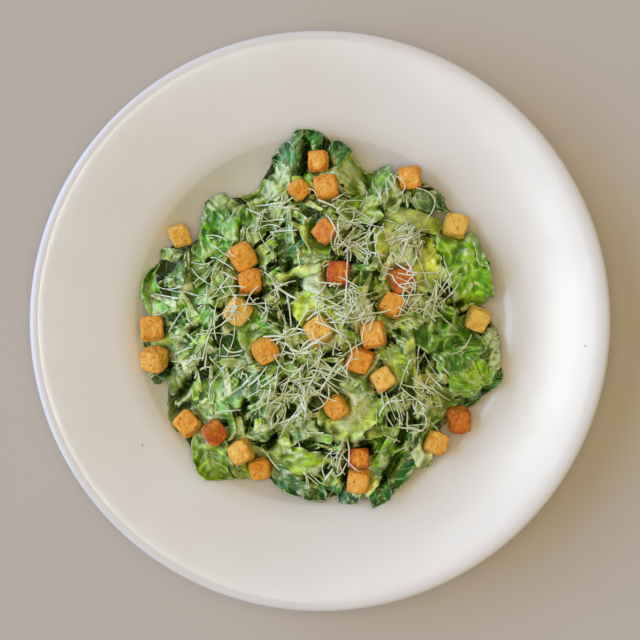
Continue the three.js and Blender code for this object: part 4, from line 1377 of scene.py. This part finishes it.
def heap_core():
    """The inside of the heap, where it lies in shade: a lumpy closed form that fills the well under the
    leaves.
    """
    angles = np.linspace(0, 2 * math.pi, CORE_SECTORS, endpoint=False)
    reach = heap_reach(angles) - CORE_INSET
    rings = []
    for number in range(1, CORE_RINGS + 1):
        distance = reach * number / CORE_RINGS
        x, y = np.cos(angles) * distance, np.sin(angles) * distance
        bumps = CORE_BUMP * noise(7, x / CORE_BUMP_SPAN, y / CORE_BUMP_SPAN)
        height = np.minimum(heap_top(x, y) - CORE_DEPTH + bumps, crouton_ceiling(x, y) - 1.0)
        height = np.maximum(height - crevice_depth(x, y), plate_top(distance) + CORE_CLEARANCE)
        rings.append(np.stack([x, y, height], axis=-1))
    edge_height = rings[-1][:, 2]
    for share in (0.35, 0.7, 1.0):
        distance = reach + (CORE_FLOOR_RADIUS - reach) * share
        floor = plate_top(distance) + CORE_CLEARANCE
        height = np.maximum(edge_height * (1 - share) + floor * share, floor)
        rings.append(np.stack([np.cos(angles) * distance, np.sin(angles) * distance, height], axis=-1))
    peak = [0, 0, float(heap_top(0.0, 0.0)) - CORE_DEPTH]
    bottom = [0, 0, WELL_FLOOR_HEIGHT + CORE_CLEARANCE]
    return turned_piece("heap_core", rings, peak, bottom, downward=True)


# ---- Cheese ----
# How many of the shreds are short crumbs, and the lengths of those and of the others, from their least
# to their greatest, in millimetres.
CRUMB_SHARE = 0.3
CRUMB_LENGTHS = (2, 6)
SHRED_LENGTHS = (6, 22)

# Points along a shred, how far shreds keep inside the heap's edge, how many are well bowed, how much
# those and the others bow, how far shreds lie over what they rest on, and what they add to it.
SHRED_STEPS = 18
SHRED_INSET = 12
BOWED_SHARE = 0.4
STRONG_BOW = 0.2
SLIGHT_BOW = 0.05
SHRED_GAP = 0.25
SHRED_RISE = 0.35
SHRED_SMOOTHING = 5


class CheeseSettings(bpy.types.PropertyGroup):
    count: count_setting("Shreds", "Number of shreds", 540, min=0)
    width: length_setting("Width", "Width of a shred", 0.001)
    sides: count_setting("Sides", "Sides of a shred's section", 7, min=3)
    flatness: number_setting("Flatness", "Thickness over width", 0.62, min=0.1)
    raggedness: length_setting("Raggedness", "Depth of the torn surface", 0.00035)
    bridging: count_setting("Bridging", "Cells of the relief that a shred bridges", 3, min=0)
    seed: count_setting("Seed", "Chooses where the shreds fall", 8)
    colour: colour_setting("Colour", "Colour of the cheese", 232, 236, 206)
    second_colour: colour_setting("Second colour", "Faint clouds in it", 216, 224, 186)


def shred_line(random, drift):
    """A shred's bowed line seen from above, and its length."""
    drift_x, drift_y, reach, _, lean, stray = drift
    angle, spread = random.uniform(0, 2 * math.pi), math.sqrt(random.uniform(0, 1))
    x = drift_x + math.cos(angle) * spread * reach
    y = drift_y + math.sin(angle) * spread * reach
    limit = float(heap_reach(math.atan2(y, x))) - SHRED_INSET
    if math.hypot(x, y) > limit:
        x, y = x * limit / math.hypot(x, y), y * limit / math.hypot(x, y)
    if random.random() < CRUMB_SHARE:
        least, greatest = CRUMB_LENGTHS
        length = least + (greatest - least) * random.random()
    else:
        least, greatest = SHRED_LENGTHS
        length = least + (greatest - least) * random.beta(1.6, 2.3)
    heading = math.radians(random.normal(lean, stray))
    bow = random.normal(0, STRONG_BOW if random.random() < BOWED_SHARE else SLIGHT_BOW)
    wiggle = random.normal(0, 0.012)
    along = np.linspace(-0.5, 0.5, SHRED_STEPS)
    a = length * along
    b = length * (bow * (1 - 4 * along ** 2) + wiggle * np.sin(2 * math.pi * along))
    px = x + math.cos(heading) * a - math.sin(heading) * b
    py = y + math.sin(heading) * a + math.cos(heading) * b
    return px, py, length


def draped(under):
    """Heights of a shred that bridges the hollows of what is under it."""
    height = np.stack([np.roll(under, shift) for shift in (-1, 0, 1)]).max(axis=0)
    height[0], height[-1] = under[0], under[-1]
    for _ in range(SHRED_SMOOTHING):
        straight = (height[:-2] + height[2:]) / 2
        height[1:-1] = np.maximum(straight, 0.35 * under[1:-1] + 0.65 * height[1:-1])
    return height + SHRED_GAP


def shred_paths(settings, relief):
    """The shreds' paths over the relief, as points, edges, girths and twists."""
    random = np.random.default_rng(settings.seed)
    shares = np.array([drift[3] for drift in CHEESE_DRIFTS])
    relief.close_gaps(settings.bridging)
    along = np.linspace(-0.5, 0.5, SHRED_STEPS)
    points, edges, girths, twists = [], [], [], []
    for number in range(settings.count):
        drift = CHEESE_DRIFTS[random.choice(len(shares), p=shares / shares.sum())]
        px, py, length = shred_line(random, drift)
        path = np.stack([px, py, draped(relief.under(px, py))], axis=-1)
        girth = (0.6 + 0.85 * random.beta(1.5, 3.0)) * (0.72 + 0.28 * np.cos(math.pi * along) ** 0.5)
        girth = girth * (1 + 0.22 * noise(number, along * length / 2.2))
        twist = random.uniform(0, math.pi) + random.normal(0, 1.2) * along
        relief.lay(path + np.array([0, 0, SHRED_RISE]))
        start = number * SHRED_STEPS
        edges += [(start + step, start + step + 1) for step in range(SHRED_STEPS - 1)]
        points.append(path)
        girths.append(girth)
        twists.append(twist)
    return np.concatenate(points), edges, np.concatenate(girths), np.concatenate(twists)


def shred_tree():
    """Geometry Nodes that sweep a flat, ragged section along each path, with its own girth and twist."""
    tree = bpy.data.node_groups.new("shreds_along_paths", "GeometryNodeTree")
    inputs = (
        ("Geometry", "NodeSocketGeometry"), ("Width", "NodeSocketFloat"),
        ("Sides", "NodeSocketInt"), ("Flatness", "NodeSocketFloat"),
        ("Raggedness", "NodeSocketFloat"), ("Material", "NodeSocketMaterial"),
    )
    for name, kind in inputs:
        tree.interface.new_socket(name, in_out="INPUT", socket_type=kind)
    tree.interface.new_socket("Geometry", in_out="OUTPUT", socket_type="NodeSocketGeometry")
    given = add_node(tree, "NodeGroupInput").outputs
    paths = add_node(tree, "GeometryNodeMeshToCurve", {"Mesh": given["Geometry"]}).outputs[0]
    circle = {"Resolution": given["Sides"], "Radius": maths(tree, "MULTIPLY", given["Width"], 0.5)}
    section = add_node(tree, "GeometryNodeCurvePrimitiveCircle", circle).outputs[0]
    squeeze = add_node(tree, "ShaderNodeCombineXYZ", {0: 1.0, 1: given["Flatness"], 2: 1.0}).outputs[0]
    flat = add_node(tree, "GeometryNodeTransform", {"Geometry": section, "Scale": squeeze}).outputs[0]
    girth, twist = (
        add_node(tree, "GeometryNodeInputNamedAttribute", {"Name": name}).outputs[0]
        for name in ("girth", "twist"))
    tilted = add_node(tree, "GeometryNodeSetCurveTilt", {"Curve": paths, "Tilt": twist}).outputs[0]
    swept = add_node(tree, "GeometryNodeCurveToMesh", {
        "Curve": tilted, "Profile Curve": flat, "Scale": girth, "Fill Caps": True}).outputs[0]
    torn = add_node(tree, "ShaderNodeTexNoise", {"Scale": 900.0, "Detail": 1.0}).outputs["Fac"]
    depth = maths(tree, "MULTIPLY", maths(tree, "SUBTRACT", torn, 0.5), given["Raggedness"])
    normal = add_node(tree, "GeometryNodeInputNormal").outputs[0]
    out = add_node(tree, "ShaderNodeVectorMath", {0: normal, "Scale": depth}, operation="SCALE").outputs[0]
    ragged = add_node(tree, "GeometryNodeSetPosition", {"Geometry": swept, "Offset": out}).outputs[0]
    smooth = add_node(tree, "GeometryNodeSetShadeSmooth", {"Geometry": ragged}).outputs[0]
    whole = add_node(tree, "GeometryNodeRealizeInstances", {"Geometry": smooth}).outputs[0]
    painted = add_node(
        tree, "GeometryNodeSetMaterial", {"Geometry": whole, "Material": given["Material"]}).outputs[0]
    output = add_node(tree, "NodeGroupOutput")
    tree.links.new(painted, output.inputs[0])
    return tree


def swept_piece(name, guide, tree, values):
    """The mesh that a tree makes of a guide, as a plain object; the guide is removed."""
    modifier = guide.modifiers.new("Sweep", "NODES")
    modifier.node_group = tree
    for item in tree.interface.items_tree:
        if item.in_out == "INPUT" and item.name in values:
            modifier[item.identifier] = values[item.name]
    guide.update_tag()
    bpy.context.view_layer.update()
    evaluated = guide.evaluated_get(bpy.context.evaluated_depsgraph_get())
    mesh = bpy.data.meshes.new_from_object(evaluated)
    bpy.data.objects.remove(guide)
    mesh.name = name
    return new_object(name, mesh)


class SALAD_OT_cheese(bpy.types.Operator):
    """Drop shreds of cheese over the leaves and croutons"""

    bl_idname = "salad.cheese"
    bl_label = "Cheese shreds"

    def execute(self, context):
        settings = context.scene.salad_cheese
        relief = Relief()
        for piece in bpy.data.objects:
            is_food = piece.name.startswith(("leaves_", "leaf_", "heap_", "crouton_"))
            if is_food and piece.type == "MESH" and not piece.hide_render:
                relief.lay_piece(piece)
        points, edges, girths, twists = shred_paths(settings, relief)
        mesh = bpy.data.meshes.new("shred_paths")
        mesh.from_pydata([tuple(point) for point in points * MM], edges, [])
        add_attribute(mesh, "girth", "FLOAT", "value", girths)
        add_attribute(mesh, "twist", "FLOAT", "value", twists)
        material = plain_material(
            "hard_cheese", settings.colour, settings.second_colour, 0.003, 0.5, 0.0001, 0.0008, glow=0.5)
        values = {
            "Width": settings.width, "Sides": settings.sides, "Flatness": settings.flatness,
            "Raggedness": settings.raggedness, "Material": material,
        }
        guide = new_object("shred_paths", mesh)
        shreds = swept_piece("cheese_shreds", guide, shred_tree(), values)
        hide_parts("lettuce")
        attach(shreds, BODY)
        return {"FINISHED"}


# ---- Floor, light and camera ----
class StageSettings(bpy.types.PropertyGroup):
    floor_colour: colour_setting("Floor", "Plain pale floor", 196, 186, 172)
    sky_strength: number_setting("Sky", "Strength of the soft all-round light", 0.24)
    ceiling_power: number_setting("Ceiling", "Watts of the wide light overhead", 14.2)
    key_power: number_setting("Window", "Strength of the light from the left", 4.4)
    key_colour: linear_colour_setting("Window colour", "Colour of that light", (0.38, 0.56, 1.0))
    lamp_power: number_setting("Lamp", "Watts of the small light overhead", 0.45)
    camera_height: length_setting("Camera height", "Over the plate's rim", 0.70)


FLOOR_REACH = 3.0
SECOND_FLOOR_SHADE = 0.97
WARM_LIGHT = (1.0, 0.776, 0.378)
COOL_LIGHT = (0.86, 0.94, 1.0)
SKY_COLOUR = (0.95, 0.93, 0.9)

# The window's height and heading and how widely its light is spread, in degrees, then the places and
# sizes of the two lights overhead, in metres.
WINDOW_ELEVATION = 17
WINDOW_HEADING = -10
WINDOW_SPREAD = 80
CEILING_PLACE = (0.0, 0.0, 1.7)
CEILING_SIZE = (1.0, 1.0)
LAMP_PLACE = (-0.07, 0.006, 1.9)
LAMP_SIZE = (0.06, 0.05)
SENSOR_WIDTH = 36.0

# The plate's place and size in the rendered picture, which is 640 pixels square.
PICTURE_WIDTH = 640
PLATE_PIXEL_X = 320.15
PLATE_PIXEL_Y = 320.96
PLATE_PIXEL_RADIUS = 291.6


class SALAD_OT_stage(bpy.types.Operator):
    """Set the floor, the soft lights and the camera that looks straight down"""

    bl_idname = "salad.stage"
    bl_label = "Stage"

    def execute(self, context):
        settings = context.scene.salad_stage
        scene = context.scene
        set_floor(settings)
        set_lights(settings, scene)
        set_camera(settings, scene)
        scene.view_settings.view_transform = "Standard"
        return {"FINISHED"}


def set_floor(settings):
    mesh = bpy.data.meshes.new("floor")
    corners = [(x * FLOOR_REACH, y * FLOOR_REACH, 0) for x, y in ((-1, -1), (1, -1), (1, 1), (-1, 1))]
    mesh.from_pydata(corners, [], [(0, 1, 2, 3)])
    floor = new_object("floor", mesh)
    second = tuple(part * SECOND_FLOOR_SHADE for part in settings.floor_colour)
    floor.data.materials.append(
        plain_material("pale_floor", settings.floor_colour, second, 0.2, 0.8, 0.0001, 0.01))


def set_lights(settings, scene):
    """A soft sky, a low wide window on the left, a wide warm ceiling and a small cool lamp."""
    world = bpy.data.worlds.new("soft_sky")
    world.use_nodes = True
    background = world.node_tree.nodes["Background"]
    background.inputs["Color"].default_value = opaque(SKY_COLOUR)
    background.inputs["Strength"].default_value = settings.sky_strength
    scene.world = world

    window = bpy.data.lights.new("window", "SUN")
    window.energy = settings.key_power
    window.color = settings.key_colour
    window.angle = math.radians(WINDOW_SPREAD)
    sun = new_object("window", window)
    down = math.pi / 2 - math.radians(WINDOW_ELEVATION)
    sun.rotation_euler = (0, -down, math.radians(WINDOW_HEADING))
    ceiling = area_light("ceiling", CEILING_PLACE, CEILING_SIZE, settings.ceiling_power, WARM_LIGHT)
    ceiling.visible_glossy = False
    area_light("lamp", LAMP_PLACE, LAMP_SIZE, settings.lamp_power, COOL_LIGHT)


def set_camera(settings, scene):
    """A camera straight above, from which the plate has its place and size in the picture."""
    scale = PLATE_RADIUS * MM / PLATE_PIXEL_RADIUS
    middle = PICTURE_WIDTH / 2
    data = bpy.data.cameras.new("camera")
    data.sensor_width = SENSOR_WIDTH
    data.lens = data.sensor_width * settings.camera_height / (scale * PICTURE_WIDTH)
    camera = new_object("camera", data)
    camera.location = (
        (middle - PLATE_PIXEL_X) * scale, (PLATE_PIXEL_Y - middle) * scale,
        PLATE_HEIGHT * MM + settings.camera_height)
    scene.camera = camera


def area_light(name, place, size, power, colour):
    """A soft rectangular light that faces the plate."""
    data = bpy.data.lights.new(name, "AREA")
    data.shape = "RECTANGLE"
    data.size, data.size_y = size
    data.energy = power
    data.color = colour
    light = new_object(name, data)
    light.location = place
    light.rotation_euler = light.location.to_track_quat("Z", "Y").to_euler()
    return light


# ---- The panel, and what is run ----
SETTINGS = {
    "salad_plate": PlateSettings,
    "salad_croutons": CroutonSettings,
    "salad_lettuce": LettuceSettings,
    "salad_cheese": CheeseSettings,
    "salad_stage": StageSettings,
}
OPERATORS = (SALAD_OT_plate, SALAD_OT_croutons, SALAD_OT_lettuce, SALAD_OT_cheese, SALAD_OT_stage)


class SALAD_PT_panel(bpy.types.Panel):
    """Lists the salad's parts and their settings"""

    bl_idname = "SALAD_PT_panel"
    bl_label = "Caesar Salad"
    bl_space_type = "VIEW_3D"
    bl_region_type = "UI"
    bl_category = "Salad"

    def draw(self, context):
        for (key, group), operator in zip(SETTINGS.items(), OPERATORS):
            box = self.layout.box()
            box.operator(operator.bl_idname)
            for name in group.__annotations__:
                box.prop(getattr(context.scene, key), name)


def register():
    for group in SETTINGS.values():
        bpy.utils.register_class(group)
    for key, group in SETTINGS.items():
        setattr(bpy.types.Scene, key, bpy.props.PointerProperty(type=group))
    for operator in OPERATORS:
        bpy.utils.register_class(operator)
    bpy.utils.register_class(SALAD_PT_panel)


def unregister():
    bpy.utils.unregister_class(SALAD_PT_panel)
    for operator in reversed(OPERATORS):
        bpy.utils.unregister_class(operator)
    for key, group in SETTINGS.items():
        delattr(bpy.types.Scene, key)
        bpy.utils.unregister_class(group)


def main():
    register()
    bpy.ops.salad.plate()
    bpy.ops.salad.croutons()
    bpy.ops.salad.lettuce()
    bpy.ops.salad.cheese()
    bpy.ops.salad.stage()


if __name__ == "__main__":
    main()
